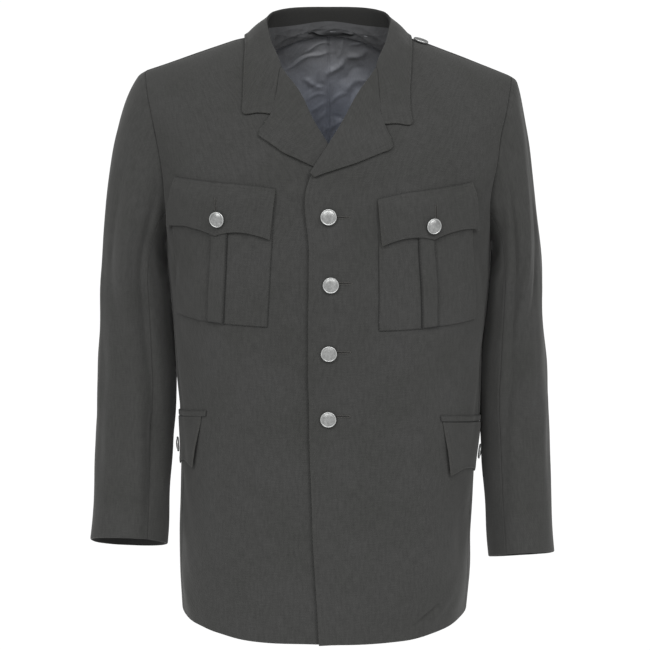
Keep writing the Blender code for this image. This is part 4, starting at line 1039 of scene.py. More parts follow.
def streaks(side, turn, drop):
    """How far the long folds of a sleeve stand out, with the puff of the sleeve head."""
    puff = step_up(drop, *PUFF_STARTS) * (1 - step_up(drop, *PUFF_ENDS))
    total = SLEEVE_PUFF[side] * MM * puff * np.exp(-((wrapped(turn) / PUFF_WIDTH) ** 2))
    for fold in STREAKS[side]:
        off = wrapped(turn - fold.turn - fold.drift * (drop - fold.drop))
        along = (drop - fold.drop) / fold.length
        total = total + fold.depth * MM * np.exp(-((off / fold.width) ** 2) - along**2)
    return total


class Jacket_OT_sleeves(bpy.types.Operator):
    """Two-piece sleeves, open at the armhole and the cuff"""

    bl_idname = "jacket.sleeves"
    bl_label = "Sleeves"

    def execute(self, context):
        both = material("wool"), material("lining")
        ends = edges_of("pressed", "pressed", "deep", "free")
        faced = (0, 0, 0, size_of("turn_up"))
        for side in (LEFT, RIGHT):
            for name, start, end, count in (
                ("top", BACK_SLEEVE_SEAM - 360, FRONT_SLEEVE_SEAM, 120),
                ("under", FRONT_SLEEVE_SEAM, BACK_SLEEVE_SEAM, 50),
            ):
                grid = turned(sleeve_grid(side, start, end, count), side)
                cloth(f"sleeve_{SIDE_NAMES[side]}_{name}", grid, WALL, both, ends, faced=faced)
        return {"FINISHED"}


def collar_control():
    """Points of the collar: stand, fold and fall at stations from one front corner to the other."""
    half = {}
    for side in (LEFT, RIGHT):
        flip = np.array([side, 1, 1])
        base = np.array([row[:3] for row in COLLAR_NECK]) * MM * flip
        fold = np.array([row[3:] for row in COLLAR_NECK]) * MM * flip
        fall = COLLAR_FALL[side]
        angle = side * np.radians(column(fall, "angle", 1))
        half[side] = np.stack([base, fold, body(angle, column(fall, "height"), WALL + LIFT + COLLAR_OFF)], 1)
    stations = np.concatenate([half[RIGHT], half[LEFT][-2::-1]])
    last = len(stations) - 1.0
    ahead, back = np.arange(5.0), np.array(COLLAR_STATIONS)
    at = np.concatenate([ahead, back, last - back[-2::-1], last - ahead[::-1]])
    base, fold, edge = np.moveaxis(smooth(np.arange(len(stations)), stations, at), 1, 0)
    inner, outer = unit(base - fold), unit(edge - fold)
    down = unit(inner + outer)
    spread = unit(outer - (outer * down).sum(-1, keepdims=True) * down)
    stand = fold + down * FOLD_DEPTH - spread * STAND_ASIDE
    fall = fold + down * FOLD_DEPTH + spread * FALL_ASIDE
    lines = [base, (base + stand) / 2, stand, fold, fall]
    for share in FALL_ROWS:
        lines.append(fall + (edge - fall) * share + spread * FALL_BULGE * share * (1 - share) ** 2)
    grid = np.stack(lines)
    around = cloud()
    for row, lift in enumerate(FALL_LIFTS, start=4):
        grid[row] = keep_clear(grid[row], lift * MM, around)
    return grid


def lapel_control(side):
    """Points of a lapel: rows wrap the edge of the front and go on to the lapel's outer edge."""
    share = np.array(LAPEL_COLUMNS)
    heights = GORGE_TOP + (BREAK - GORGE_TOP) * share
    start_angle = front_edge(heights, side)
    edge = body(start_angle, heights, side=side)
    normal = torso_normal(start_angle, heights)
    inward = unit(np.cross(np.gradient(edge, share, axis=0), normal)) * side
    tucked_in = (1 - step_up(share, *WRAP_ENDS))[:, None]
    turned_in = (1 - step_up(share, *TURN_ENDS))[:, None]
    lines = []
    for (reach_a, level_a), (reach_b, level_b) in zip(LAPEL_WRAP, LAPEL_BESIDE):
        reach = tucked_in * reach_a + (1 - tucked_in) * reach_b
        level = turned_in * level_a + (1 - turned_in) * level_b
        lines.append(edge + (inward * reach + normal * level) * MM)
    table = LAPELS[side]
    knots = column(table, "share", 1)
    end_angle = side * np.radians(np.interp(share, knots, column(table, "angle", 1)))
    end_height = np.interp(share, knots, column(table, "height"))
    flat = 1 - FLATTER * step_up(share, *FLATTER_FROM) * (side == RIGHT)
    for part, lift in LAPEL_ROWS:
        angle = start_angle + (end_angle - start_angle) * part
        height = heights + (end_height - heights) * part
        lines.append(body(angle, height, WALL + (lift + LAPEL_OFF * part**2) * MM * flat, side))
    return np.stack(lines)


def run_of(line):
    """Share of its length at each point of a line, from its last point back to its first."""
    run = running(line[::-1])
    return (run / run[-1])[::-1]


def draw_together(collar, lapel, collar_fold, lapel_roll, side):
    """Moves the collar's front end and the lapel's upper end onto the line midway between them,
    less and less away from it, so that they meet along the gorge seam."""
    near = 0 if side == RIGHT else -1
    gorge_a, gorge_b = collar[collar_fold:, near], lapel[lapel_roll:, 0]
    run_a, run_b = run_of(gorge_a), run_of(gorge_b)
    other = along_line(run_a, run_b[::-1], gorge_b[::-1])
    mine = along_line(run_b, run_a[::-1], gorge_a[::-1])
    for grid, moved, first, end in (
        (collar, (other - gorge_a) / 2, collar_fold, near),
        (lapel, (mine - gorge_b) / 2, lapel_roll, 0),
    ):
        before = np.linspace(0, 1, first)[:, None] ** 2 * moved[:1]
        moved = np.concatenate([before, moved])
        away = np.linalg.norm(grid - grid[:, end : end + 1 or None], axis=-1)
        grid += moved[:, None] * (1 - step_up(away, 0, GORGE_REACH))[..., None]


class Jacket_OT_collar(bpy.types.Operator):
    """Fold-down collar and the two lapels"""

    bl_idname = "jacket.collar"
    bl_label = "Collar and lapels"

    def execute(self, context):
        wool = material("wool")
        control = collar_control()
        rows = shares(46, 0.09) * (control.shape[0] - 1)
        columns = shares(230, 0.55) * (control.shape[1] - 1)
        grid = resample(control, rows, columns)
        lapels = {}
        for side in (LEFT, RIGHT):
            lapel = lapel_control(side)
            down = shares(64, 0.1) * (lapel.shape[0] - 1)
            along = shares(70, 0.15) * (lapel.shape[1] - 1)
            lapels[side] = resample(lapel, down, along)
            draw_together(grid, lapels[side], np.searchsorted(rows, 3), np.searchsorted(down, 3), side)
        ends = edges_of("seam", "seam", "seam", "free")
        collar = cloth("collar", grid, FACING, (wool, material("melton")), ends)
        wide = len(columns) - 1
        # The stand's outer faces take the melton: darker partly as its own colour and partly as painted shade
        stand = np.flatnonzero(rows[:-1] < STAND_ROWS)[:, None] * wide + np.arange(wide)
        numbers = np.zeros(len(collar.data.polygons), np.int32)
        collar.data.polygons.foreach_get("material_index", numbers)
        numbers[stand.ravel()] = 1
        collar.data.polygons.foreach_set("material_index", numbers)
        for side in (LEFT, RIGHT):
            ends = edges_of(*("seam", "free")[::side], "free", "free")
            cloth(f"lapel_{SIDE_NAMES[side]}", turned(lapels[side], side), FACING, (wool,), ends)
        return {"FINISHED"}


def pocket_piece(pocket, side, extent, counts, level, scallop=0.0, part=WHOLE, up_part=WHOLE, point=0.5):
    """Grid of a pocket piece, with closer rows and columns at its rounded edges. A scallop cuts its
    lower edge as two arcs that meet at the point, a share of its width."""
    across = part[0] + (part[1] - part[0]) * shares(counts[0], extent[0])
    up = up_part[0] + (up_part[1] - up_part[0]) * shares(counts[1], extent[1])
    across, up = np.meshgrid(across, up)
    level = level(across, up) if callable(level) else level
    halves = np.where(across < point, across / point / 2, 0.5 + (across - point) / (1 - point) / 2)
    drop = scallop * (1 - up) * np.abs(np.sin(2 * math.pi * halves)) ** SCALLOP_CURVE
    grid = pocket_grid(pocket, side, across, up, level)
    grid[..., 2] += drop * step_up(1 - up, 0.0, 1.0)
    return turned(grid, side)


def flap_level(across, up):
    """Level of a chest flap over the body: it steps over the pocket's top edge."""
    return FLAP_LEVEL + FLAP_STEP * step_up(1 - up, 0, STEP_SHARE)


def hip_flap_level(across, up):
    """A flat flap whose front edge lifts towards its lower corner."""
    lift = FLAP_OFF * (1 - step_up(across, 0, FLAP_OFF_SHARE)) * step_up(1 - up, *FLAP_OFF_FROM)
    return WALL + LIFT + lift


class Jacket_OT_pockets(bpy.types.Operator):
    """Chest pockets with pleat and flap, and the flaps and jets of the hip pockets"""

    bl_idname = "jacket.pockets"
    bl_label = "Pockets"

    def execute(self, context):
        wool = (material("wool"),)
        sewn = edges_of("seam", "seam", "seam", "seam")
        hanging = edges_of("free", "free", "free", "seam")
        pleated = edges_of("deep", "deep", "seam", "seam")
        on_pocket = WALL + LIFT + THIN + LIFT
        pleat_part = {"part": (PLEAT_FROM, PLEAT_TO), "up_part": (PLEAT_LOW, PLEAT_HIGH)}
        for side in (LEFT, RIGHT):
            name = SIDE_NAMES[side]
            pocket, flap, hip = CHEST_POCKETS[side], CHEST_FLAPS[side], HIP_FLAPS[side]
            grid = pocket_piece(pocket, side, (0.13, 0.15), (44, 50), WALL + LIFT)
            cloth(f"chest_pocket_{name}", grid, THIN, wool, sewn)
            grid = pocket_piece(pocket, side, (0.024, 0.15), (12, 50), on_pocket, **pleat_part)
            cloth(f"chest_pleat_{name}", grid, THIN, wool, pleated)
            point = FLAP_POINT[side]
            grid = pocket_piece(flap, side, (0.13, 0.07), (60, 26), flap_level, SCALLOP, point=point)
            cloth(f"chest_flap_{name}", grid, FACING, wool, hanging)
            top, low = FLAP_SHIFT[side]
            worn = hip._replace(inner_top=hip.inner_top + top, inner_low=hip.inner_low + low)
            grid = pocket_piece(worn, side, (0.16, 0.07), (60, 26), hip_flap_level, SCALLOP)
            cloth(f"hip_flap_{name}", grid, FACING, wool, hanging)
            rise = HIP_JET_HEIGHT / MM
            jet = hip._replace(
                inner_low=hip.inner_top - JET_INSET, outer_low=hip.outer_top + JET_INSET,
                inner_top=hip.inner_top - 2 * JET_INSET, outer_top=hip.outer_top,
                low_in=hip.top_in + JET_GAP, low_out=hip.top_out + JET_GAP,
                top_in=hip.top_in + rise, top_out=hip.top_out + rise,
            )
            grid = pocket_piece(jet, side, (0.14, 0.009), (60, 6), WALL + LIFT)
            cloth(f"hip_jet_{name}", grid, THIN, wool, sewn)
        return {"FINISHED"}


# Low swell of the lining and how its wrinkles bend, each with its wave lengths over two pi, and
# the depth and half width of its seam in the middle
SWELL, SWELL_UP, SWELL_LEAN, SWELL_ACROSS = 0.5 * MM, 9 * MM, 13 * MM, 17 * MM
BENT, BENT_OVER = 1.5 * MM, 6 * MM
SUNK, SUNK_WIDTH = 2.2 * MM, 1.7 * MM
# Shares of its length between which a wrinkle of the lining starts, and ends
FOLD_STARTS, FOLD_ENDS = np.array([-0.15, 0.25]), np.array([0.7, 1.15])
# Share of the wrinkles' depth that shows, and how far they go inwards and outwards
WRINKLED, DEEPEST, HIGHEST = 0.75, -1.9 * MM, 6 * MM


def lining_wrinkles(x, height):
    """Ridges along lines, each fading at both its ends, and a sunk seam in the middle."""
    total = SWELL * np.sin(height / SWELL_UP + x / SWELL_LEAN) * np.sin(x / SWELL_ACROSS + 1.0)
    for fold in LINING_WRINKLES:
        run, rise = (fold.to_x - fold.x) * MM, (fold.to_height - fold.height) * MM
        length = math.hypot(run, rise)
        ahead, above = x - fold.x * MM, height - fold.height * MM
        along = (ahead * run + above * rise) / length
        bent = BENT * np.sin(along / BENT_OVER + fold.x)
        off = ((above * run - ahead * rise) / length + bent) / (fold.width * MM)
        starts = step_up(along, *(FOLD_STARTS * length))
        ends = 1 - step_up(along, *(FOLD_ENDS * length))
        total = total + fold.depth * MM * starts * ends / (1 + off**2) ** 1.5
    return total - SUNK * np.exp(-((x / SUNK_WIDTH) ** 2))


class Jacket_OT_lining(bpy.types.Operator):
    """Wrinkled lining inside the upper back, the gathered strip over it and the hanging loop"""

    bl_idname = "jacket.lining"
    bl_label = "Lining"

    def execute(self, context):
        strip = (material("strip"),)
        aside = shares(240, 0.45) - 0.5
        aside = (1 - NEAR_SEAM) * aside + 4 * NEAR_SEAM * aside**3
        angles = LINING_EDGE + (2 * math.pi - 2 * LINING_EDGE) * (aside + 0.5)
        tops = np.minimum(neck_curve(body(angles, 0 * angles)[:, 0]) - 1 * MM, LINING_TOP)
        rise = np.sin(shares(170, 0.33)[:, None] * math.pi / 2) ** LINING_ROWS
        heights = LINING_BOTTOM + (tops - LINING_BOTTOM) * rise
        inset = THIN + LIFT * (LINING_INSET + DEEPER_ABOVE * step_up(heights, DEEPER_FROM, LINING_TOP))
        angles = angles + 0 * heights
        ridges = WRINKLED * lining_wrinkles(body(angles, heights)[..., 0], heights)
        grid = body(angles, heights, -inset - np.clip(ridges, DEEPEST, HIGHEST))
        ends = edges_of("seam", "seam", "free", "seam")
        cloth("lining_back", grid, THIN, (material("lining"),), ends, slot="lining")
        cloth("neck_strip", strip_grid(), THIN / 2, strip, ends, slot="lining", node=False)
        loop = tube("hanger_loop", loop_grid(), strip)
        finish_piece(loop, "lining", "hanger_loop")
        return {"FINISHED"}


# The strip stands off the neck by these amounts at its top and bottom, rises with the first of
# these heights everywhere and by the strip's rise over the middle, and bulges between its edges
STRIP_TOP_IN, STRIP_LOW_IN, STRIP_UP = 2.6 * MM, 3.4 * MM, 2.0
STRIP_MIDDLE, STRIP_BULGE = 55 * MM, 1.6 * MM
NECK_CENTRE = (0.0, 20 * MM, 0.0)
# How its wrinkles waver, over how many millimetres, the power that sharpens their crests, and the
# shares of its height that count as its edges
WAVER, WAVER_OVER, CREST_POWER, STRIP_INNER = 0.8, 17, 0.7, (0.04, 0.96)


def strip_grid():
    """Gathered strip from the lining's top edge up over the seam of the stand: its top follows the
    seam, its bottom follows the lining, and wrinkles run slantwise along it."""
    base = np.array([row[:3] for row in COLLAR_NECK[STRIP_FROM:]]) * MM
    seam = np.concatenate([base * (-1, 1, 1), base[-2::-1]])
    top = smooth(np.arange(len(seam)), seam, np.linspace(0, len(seam) - 1, 300))
    inward = unit((np.array(NECK_CENTRE) - top) * (1, 1, 0))
    central = np.exp(-((top[:, :1] / STRIP_MIDDLE) ** 2))
    upward = np.array([0, 0, 1.0])
    top = top + inward * STRIP_TOP_IN + upward * (STRIP_UP + STRIP_RISE * central) * MM
    low = top * (1, 1, 0) + inward * STRIP_LOW_IN + upward * (seam_height(top) - STRIP_DROP)
    up = shares(30, 0.03)[:, None, None]
    run = running(top) / MM
    level = up[..., 0]
    wrinkle = 0
    for wave in STRIP_WAVES:
        phase = 2 * math.pi * (run / wave.along + level / wave.across) + wave.start
        crest = np.abs(np.sin(phase / 2 + WAVER * np.sin(run / WAVER_OVER))) ** CREST_POWER
        wrinkle = wrinkle + wave.height * MM * (1 - crest)
    bulge = STRIP_BULGE * np.sin(math.pi * level)
    loose = wrinkle * np.sin(math.pi * np.clip(level, *STRIP_INNER)) + bulge
    return (low + (top - low) * up + inward * loose[..., None])[:, ::-1]


def seam_height(points):
    """Height of the lining's top edge below points of the neck."""
    across, heights = np.array((LINING_EDGE_X, LINING_EDGE_Z)) * MM
    return np.interp(np.abs(points[:, :1]), across, heights)


def loop_grid():
    """Narrow strip twisted about its own path: an ellipse turned along a sagging line."""
    share = np.linspace(0, 1, 90)
    x = LOOP_FROM + (LOOP_TO - LOOP_FROM) * share
    sag = LOOP_BOW * np.sin(math.pi * share)
    height = neck_curve(x) - LOOP_DROP - LOOP_SAG * sag
    path = body(math.pi - angle_at(x, 0 * x), height, -LOOP_INSET - sag)
    path = path + np.array([0.0, 0.0, LOOP_RISE])
    along = unit(np.gradient(path, axis=0))
    aside = unit(np.cross(along, np.array([0.0, 0.0, 1.0])))
    up = np.cross(aside, along)
    turn = LOOP_TURN * share + LOOP_UNEVEN * np.sin(7 * share)
    around = np.linspace(0, 2 * math.pi, 17)[:-1][:, None]
    thin = LOOP_THIN + (1 - LOOP_THIN) * np.abs(2 * share - 1) ** 2
    wide, deep = LOOP_WIDE * np.cos(around), LOOP_DEEP * thin * np.sin(around) + 0 * around
    first = wide * np.cos(turn) - deep * np.sin(turn)
    second = wide * np.sin(turn) + deep * np.cos(turn)
    return path + first[..., None] * up + second[..., None] * aside


def tube(name, grid, materials):
    """Closed tube: rows go round it, columns along it, and the last point of each end closes it."""
    rows, columns = grid.shape[:2]
    index = np.arange(rows * columns).reshape(rows, columns)
    over = np.roll(index, -1, axis=0)
    walls = np.stack([index[:, :-1], index[:, 1:], over[:, 1:], over[:, :-1]], -1).reshape(-1, 4)
    first = np.full(rows, rows * columns)
    caps = np.concatenate([
        np.stack([index[:, 0], over[:, 0], first], -1),
        np.stack([over[:, -1], index[:, -1], first + 1], -1),
    ])
    flat = np.meshgrid(np.linspace(0, LOOP_LENGTH, columns), np.linspace(0, LOOP_GIRTH, rows))
    flat = np.concatenate([np.stack(flat, -1).reshape(-1, 2), [[0, 0], [LOOP_LENGTH, 0]]])
    points = np.concatenate([grid.reshape(-1, 3), grid[:, [0, -1]].mean(0)])
    return build_mesh(name, points, (walls, caps), flat, materials=materials)


# Half section of a button over its radius and size: domed middle, groove, raised rim, back
BUTTON_FACE = (
    (0.0, 0.215), (0.15, 0.213), (0.3, 0.207), (0.45, 0.196), (0.58, 0.181), (0.68, 0.166),
    (0.76, 0.149), (0.82, 0.135), (0.855, 0.131), (0.885, 0.142), (0.915, 0.153), (0.945, 0.152),
    (0.972, 0.139), (0.992, 0.115), (1.0, 0.09), (0.985, 0.055), (0.93, 0.03), (0.8, 0.012),
    (0.5, 0.0), (0.2, 0.0),
)
# Points round a button, and the middle and half width of its rubbed rim as shares of its radius
BUTTON_STEPS = 64
RIM, RIM_WIDTH = 0.94, 0.045


def button_grid(size, place, normal):
    """Points of a turned button: its half section carried round the normal."""
    outline = np.array(BUTTON_FACE)
    turn = np.linspace(0, 2 * math.pi, BUTTON_STEPS + 1)[:-1]
    matrix = np.array(Vector(normal).to_track_quat("Z", "Y").to_matrix())
    reach, rise = outline[:, :1] * size / 2, outline[:, 1:] * size
    local = np.stack([reach * np.cos(turn), reach * np.sin(turn), rise + 0 * turn], -1)
    return place + local @ matrix.T


class Jacket_OT_buttons(bpy.types.Operator):
    """Domed metal buttons with a raised rim"""

    bl_idname = "jacket.buttons"
    bl_label = "Buttons"

    def execute(self, context):
        rings, steps = len(BUTTON_FACE) - 1, BUTTON_STEPS
        index = np.arange(rings * steps).reshape(rings, steps)
        over = np.roll(index, -1, axis=1)
        walls = np.stack([index[:-1], index[1:], over[1:], over[:-1]], -1).reshape(-1, 4)
        middle = np.full(steps, rings * steps)
        caps = np.concatenate([
            np.stack([middle, index[0], over[0]], -1),
            np.stack([middle + 1, over[-1], index[-1]], -1),
        ])
        rim = np.abs(np.repeat(np.array(BUTTON_FACE)[1:, 0], steps) - RIM) < RIM_WIDTH
        values = {"rim": np.concatenate([rim, [0, 0]])}
        metal = (material("metal"),)
        for button in BUTTONS:
            angle, height = np.array(math.radians(button.angle)), np.array(button.height * MM)
            place = body(angle, height, button.level * MM, button.side)
            grid = button_grid(button.size, place, torso_normal(angle, height))
            points = np.concatenate([grid[1:].reshape(-1, 3), grid[:1, 0], grid[-1].mean(0, keepdims=True)])
            piece = build_mesh(button.name, points, (walls, caps), values=values, materials=metal)
            finish_piece(piece, "button_metal", button.name)
        return {"FINISHED"}


def stitches(points, normals, lengthwise, half_length, half_width, lift):
    """Many small stitches as one mesh: each is a stretched eight-faced bead with its own place,
    normal and direction."""
    aside = unit(np.cross(normals, lengthwise))
    bead = np.array([(-1, 0, 0), (1, 0, 0), (0, 1, 0), (0, -1, 0), (0, 0, 1), (0, 0, -1)], float)
    faces = np.array([(1, 2, 4), (2, 0, 4), (0, 3, 4), (3, 1, 4), (2, 1, 5), (0, 2, 5), (3, 0, 5), (1, 3, 5)])
    local = (
        bead[None, :, :1] * half_length * lengthwise[:, None]
        + bead[None, :, 1:2] * half_width * aside[:, None]
        + bead[None, :, 2:] * half_width * normals[:, None]
    )
    numbers = faces[None] + len(bead) * np.arange(len(points))[:, None, None]
    return (points[:, None] + lift * normals[:, None] + local).reshape(-1, 3), numbers.reshape(-1, 3)


def stitch_row(name, up, across):
    """Places of the stitches along a line on a piece: one at each stitch length and gap."""
    points, normals = on_surface(name, up, across)
    run = running(points)
    stitch, thread = size_of("stitch"), size_of("thread")
    count = max(2, int(run[-1] / (stitch + size_of("stitch_gap"))))
    at = (np.arange(count) + 0.5) * run[-1] / count
    ahead = along_line(at + 0.5 * MM, run, points) - along_line(at - 0.5 * MM, run, points)
    normal = unit(along_line(at, run, normals))
    place, lift = along_line(at, run, points), thread * THREAD_LIFT
    return stitches(place, normal, unit(ahead), stitch / 2, thread / 2, lift)


# Top stitching: piece without its side, the edges that it follows (left, right, bottom, top, or the
# opening one), its distance from them in millimetres, and the shares where it starts and ends
Seam = namedtuple("Seam", "piece edges inset start end")
SEAMS = table_of(
    Seam,
    ("front", "o", 6, 0.01, 0.77), ("lapel", "t", 6, 0.04, 0.96), ("lapel", "o", 6, 0.55, 0.95),
    ("chest_flap", "lr", 5, 0.06, 0.94), ("chest_flap", "b", 5, 0.05, 0.95),
    ("chest_flap", "t", 5, 0.03, 0.97), ("hip_flap", "lr", 5, 0.06, 0.94),
    ("hip_flap", "b", 5, 0.05, 0.95), ("hip_flap", "t", 5, 0.03, 0.97),
    ("chest_pocket", "lrb", 1.8, 0.02, 0.98), ("chest_pleat", "lr", 1.6, 0.02, 0.98),
    ("hip_jet", "t", 1.6, 0.03, 0.97),
)
COLLAR_SEAMS = table_of(Seam, ("collar", "t", 6, 0.02, 0.98), ("collar", "lr", 6, 0.55, 0.95))
SEAM_STEPS = 240
OPENING = {LEFT: "l", RIGHT: "r"}


def seam_line(name, edge, seam):
    """Shares of a piece's length and width along a line beside one of its edges."""
    flat = laid_out(SURFACES[name])
    extent = flat[0, -1, 0] if edge in "lr" else flat[-1, 0, 1]
    share = seam.inset * MM / extent
    beside = np.full(SEAM_STEPS, share if edge in "lb" else 1 - share)
    run = np.linspace(seam.start, seam.end, SEAM_STEPS)
    return (run, beside) if edge in "lr" else (beside, run)


def seams():
    """Every line of top stitching: the name of its piece, one edge, and its row of the table."""
    lines = []
    for side in (LEFT, RIGHT):
        for seam in SEAMS:
            edges = seam.edges.replace("o", OPENING[side])
            lines += [(f"{seam.piece}_{SIDE_NAMES[side]}", edge, seam) for edge in edges]
    return lines + [(seam.piece, edge, seam) for seam in COLLAR_SEAMS for edge in seam.edges]


def nearest_on(name, x, z):
    """Point and normal on a piece's outer face at a distance across the front and a height."""
    grid = SURFACES[name]
    off = (grid[..., 0] - x) ** 2 + (grid[..., 2] - z) ** 2 + (grid[..., 1] > 0)
    at = np.unravel_index(off.argmin(), off.shape)
    return grid[at], normals_of(grid)[at]


def slit_axes(normal, turn):
    """Directions along and across a slit that is turned that many degrees from the level."""
    level = unit(np.cross(np.array([0.0, 0.0, 1.0]), normal))
    upward = np.cross(normal, level)
    cosine, sine = math.cos(math.radians(turn)), math.sin(math.radians(turn))
    return cosine * level + sine * upward, cosine * upward - sine * level


def buttonhole(place, normal, turn):
    """Stitches side by side round a slit: a long oval of short beads that point away from it."""
    along, aside = slit_axes(normal, turn)
    angles = np.linspace(0, 2 * math.pi, 400)
    sine, cosine = np.sin(angles), np.cos(angles)
    half = size_of("buttonhole") / 2 - SLIT_END
    path = np.stack([np.clip(cosine * (half + 1 * MM), -half, half), 0 * angles], -1)
    path[:, 0] += PURL * cosine * (np.abs(path[:, 0]) >= half)
    path[:, 1] = PURL * np.sign(sine) * np.minimum(1, 2 * np.abs(sine))
    run = running(path)
    path = along_line(np.linspace(0, run[-1], 2 * BUTTONHOLE_STITCHES + 1)[:-1], run, path)
    core = np.stack([np.clip(path[:, 0], -half, half), 0 * path[:, 0]], -1)
    away = unit(path - core)
    points = place + path[:, :1] * along + path[:, 1:] * aside
    leads = away[:, :1] * along + away[:, 1:] * aside
    return stitches(points, normal + 0 * points, leads, PURL, PURL_WIDTH, PURL_LIFT)


def flat_bead(place, normal, turn):
    """The slit itself: one long low bead between the stitches, nearly black with painted shade."""
    along, _ = slit_axes(normal, turn)
    half = size_of("buttonhole") / 2 - SLIT_END
    return stitches(place[None], normal[None], along[None], half, SLIT_WIDTH, SLIT_LIFT)


def joined(name, meshes, one):
    """One piece of sewing from several lots of points and faces."""
    firsts = np.cumsum([0] + [len(points) for points, _ in meshes])
    faces = np.concatenate([faces + first for (_, faces), first in zip(meshes, firsts)])
    points = np.concatenate([points for points, _ in meshes])
    return finish_piece(build_mesh(name, points, (faces,), materials=(one,)), "wool")


class Jacket_OT_sewing(bpy.types.Operator):
    """Top stitching along the edges, and the worked buttonholes"""

    bl_idname = "jacket.sewing"
    bl_label = "Sewing"

    def execute(self, context):
        by_piece = {}
        for name, edge, seam in seams():
            by_piece.setdefault(name, []).append(stitch_row(name, *seam_line(name, edge, seam)))
        for name, lots in by_piece.items():
            joined(f"stitching_{name}", lots, material("thread"))
        for number, (name, x, height, turn) in enumerate(BUTTONHOLES, start=1):
            place, normal = nearest_on(name, x * MM, height * MM)
            joined(f"buttonhole_{number}", [buttonhole(place, normal, turn)], material("purl"))
            joined(f"buttonhole_slit_{number}", [flat_bead(place, normal, turn)], material("shade"))
        return {"FINISHED"}


def linear(hex_colour):
    """Linear colour of an sRGB hex value."""
    channels = [int(hex_colour[i : i + 2], 16) / 255 for i in (1, 3, 5)]
    return tuple(c / 12.92 if c <= 0.04045 else ((c + 0.055) / 1.055) ** 2.4 for c in channels)


def node(tree, kind, links=None, **settings):
    """Adds a node. Links maps an input to a value or to another node's output."""
    made = tree.nodes.new(kind)
    for name, value in settings.items():
        setattr(made, name, value)
    for socket, value in (links or {}).items():
        if isinstance(value, bpy.types.NodeSocket):
            tree.links.new(value, made.inputs[socket])
        else:
            made.inputs[socket].default_value = value
    return made


def blank(name):
    """A new material, its node tree and its shader."""
    made = bpy.data.materials.new(name)
    made.use_nodes = True
    tree = made.node_tree
    return made, tree, tree.nodes["Principled BSDF"]


def ramp(tree, value, low, high, dark, light):
    """Colour between dark and light as a value goes from low to high."""
    made = node(tree, "ShaderNodeValToRGB", {"Fac": value})
    made.color_ramp.elements[0].position = low
    made.color_ramp.elements[1].position = high
    made.color_ramp.elements[0].color = (*dark, 1)
    made.color_ramp.elements[1].color = (*light, 1)
    return made.outputs["Color"]


def scaled(colour, amount):
    """A colour with each channel multiplied."""
    return tuple(channel * amount for channel in colour)


def grey(value):
    """A neutral colour."""
    return (value, value, value)


def place_of(tree):
    """Place on the jacket in metres."""
    return node(tree, "ShaderNodeTexCoord").outputs["Object"]


def weave_of(tree):
    """Flat place on the piece in metres: the grain of the cloth runs up it."""
    return node(tree, "ShaderNodeUVMap", uv_map="weave").outputs["UV"]


def mapped(tree, vector, scale, turn=0.0):
    """A place turned in the plane of the cloth and scaled."""
    links = {"Vector": vector, "Rotation": (0, 0, math.radians(turn)), "Scale": scale}
    return node(tree, "ShaderNodeMapping", links).outputs["Vector"]


def noise(tree, vector, scale, detail=2.0, roughness=0.5, distortion=0.0):
    """Uneven values that change over a metre divided by the scale."""
    links = {"Vector": vector, "Scale": scale, "Detail": detail, "Roughness": roughness}
    return node(tree, "ShaderNodeTexNoise", {**links, "Distortion": distortion}).outputs["Fac"]


def attribute(tree, name):
    """Value that the mesh holds at its points."""
    return node(tree, "ShaderNodeAttribute", attribute_name=name).outputs["Fac"]


def product(tree, colour, *others):
    """Colours multiplied with each other."""
    for other in others:
        links = {0: 1.0, 6: colour, 7: other}
        colour = node(tree, "ShaderNodeMix", links, data_type="RGBA", blend_type="MULTIPLY").outputs[2]
    return colour


def dressed(tree, shader, colour, values, bump=None):
    """Links a colour and a bump, as strength, depth and height, and sets the shader's values."""
    tree.links.new(colour, shader.inputs["Base Color"])
    if bump:
        links = dict(zip(("Strength", "Distance", "Height"), bump))
        tree.links.new(node(tree, "ShaderNodeBump", links).outputs["Normal"], shader.inputs["Normal"])
    for name, value in values.items():
        shader.inputs[name].default_value = value


# Tone of the wool near its edges: kind of edge, range of the distance, and the colour at the edge.
# A free edge is lighter, partly rubbed by wear and partly a painted highlight; a seam is darker with
# painted shade, a pressed one less, and a pleat's folds and the armhole seams darkest.
EdgeTone = namedtuple("EdgeTone", "kind low high colour")
EDGE_TONES = table_of(
    EdgeTone,
    ("free", 0.03, 0.2, (1.26, 1.25, 1.22)), ("seam", 0.02, 0.14, grey(0.5)),
    ("pressed", 0.02, 0.12, grey(0.8)), ("deep", 0.08, 0.34, grey(0.3)),
)
# The twill's lines are drawn at 1.3 mm, coarser than the real 0.6 mm, so that they show
TWILL, TWILL_TURN = 1.3 * MM, 28
# Heights in metres over which the lining's painted light goes from lighter and bluer to darker and warmer
LINING_PAINTED_LIGHT_HEIGHTS = -0.11, -0.03


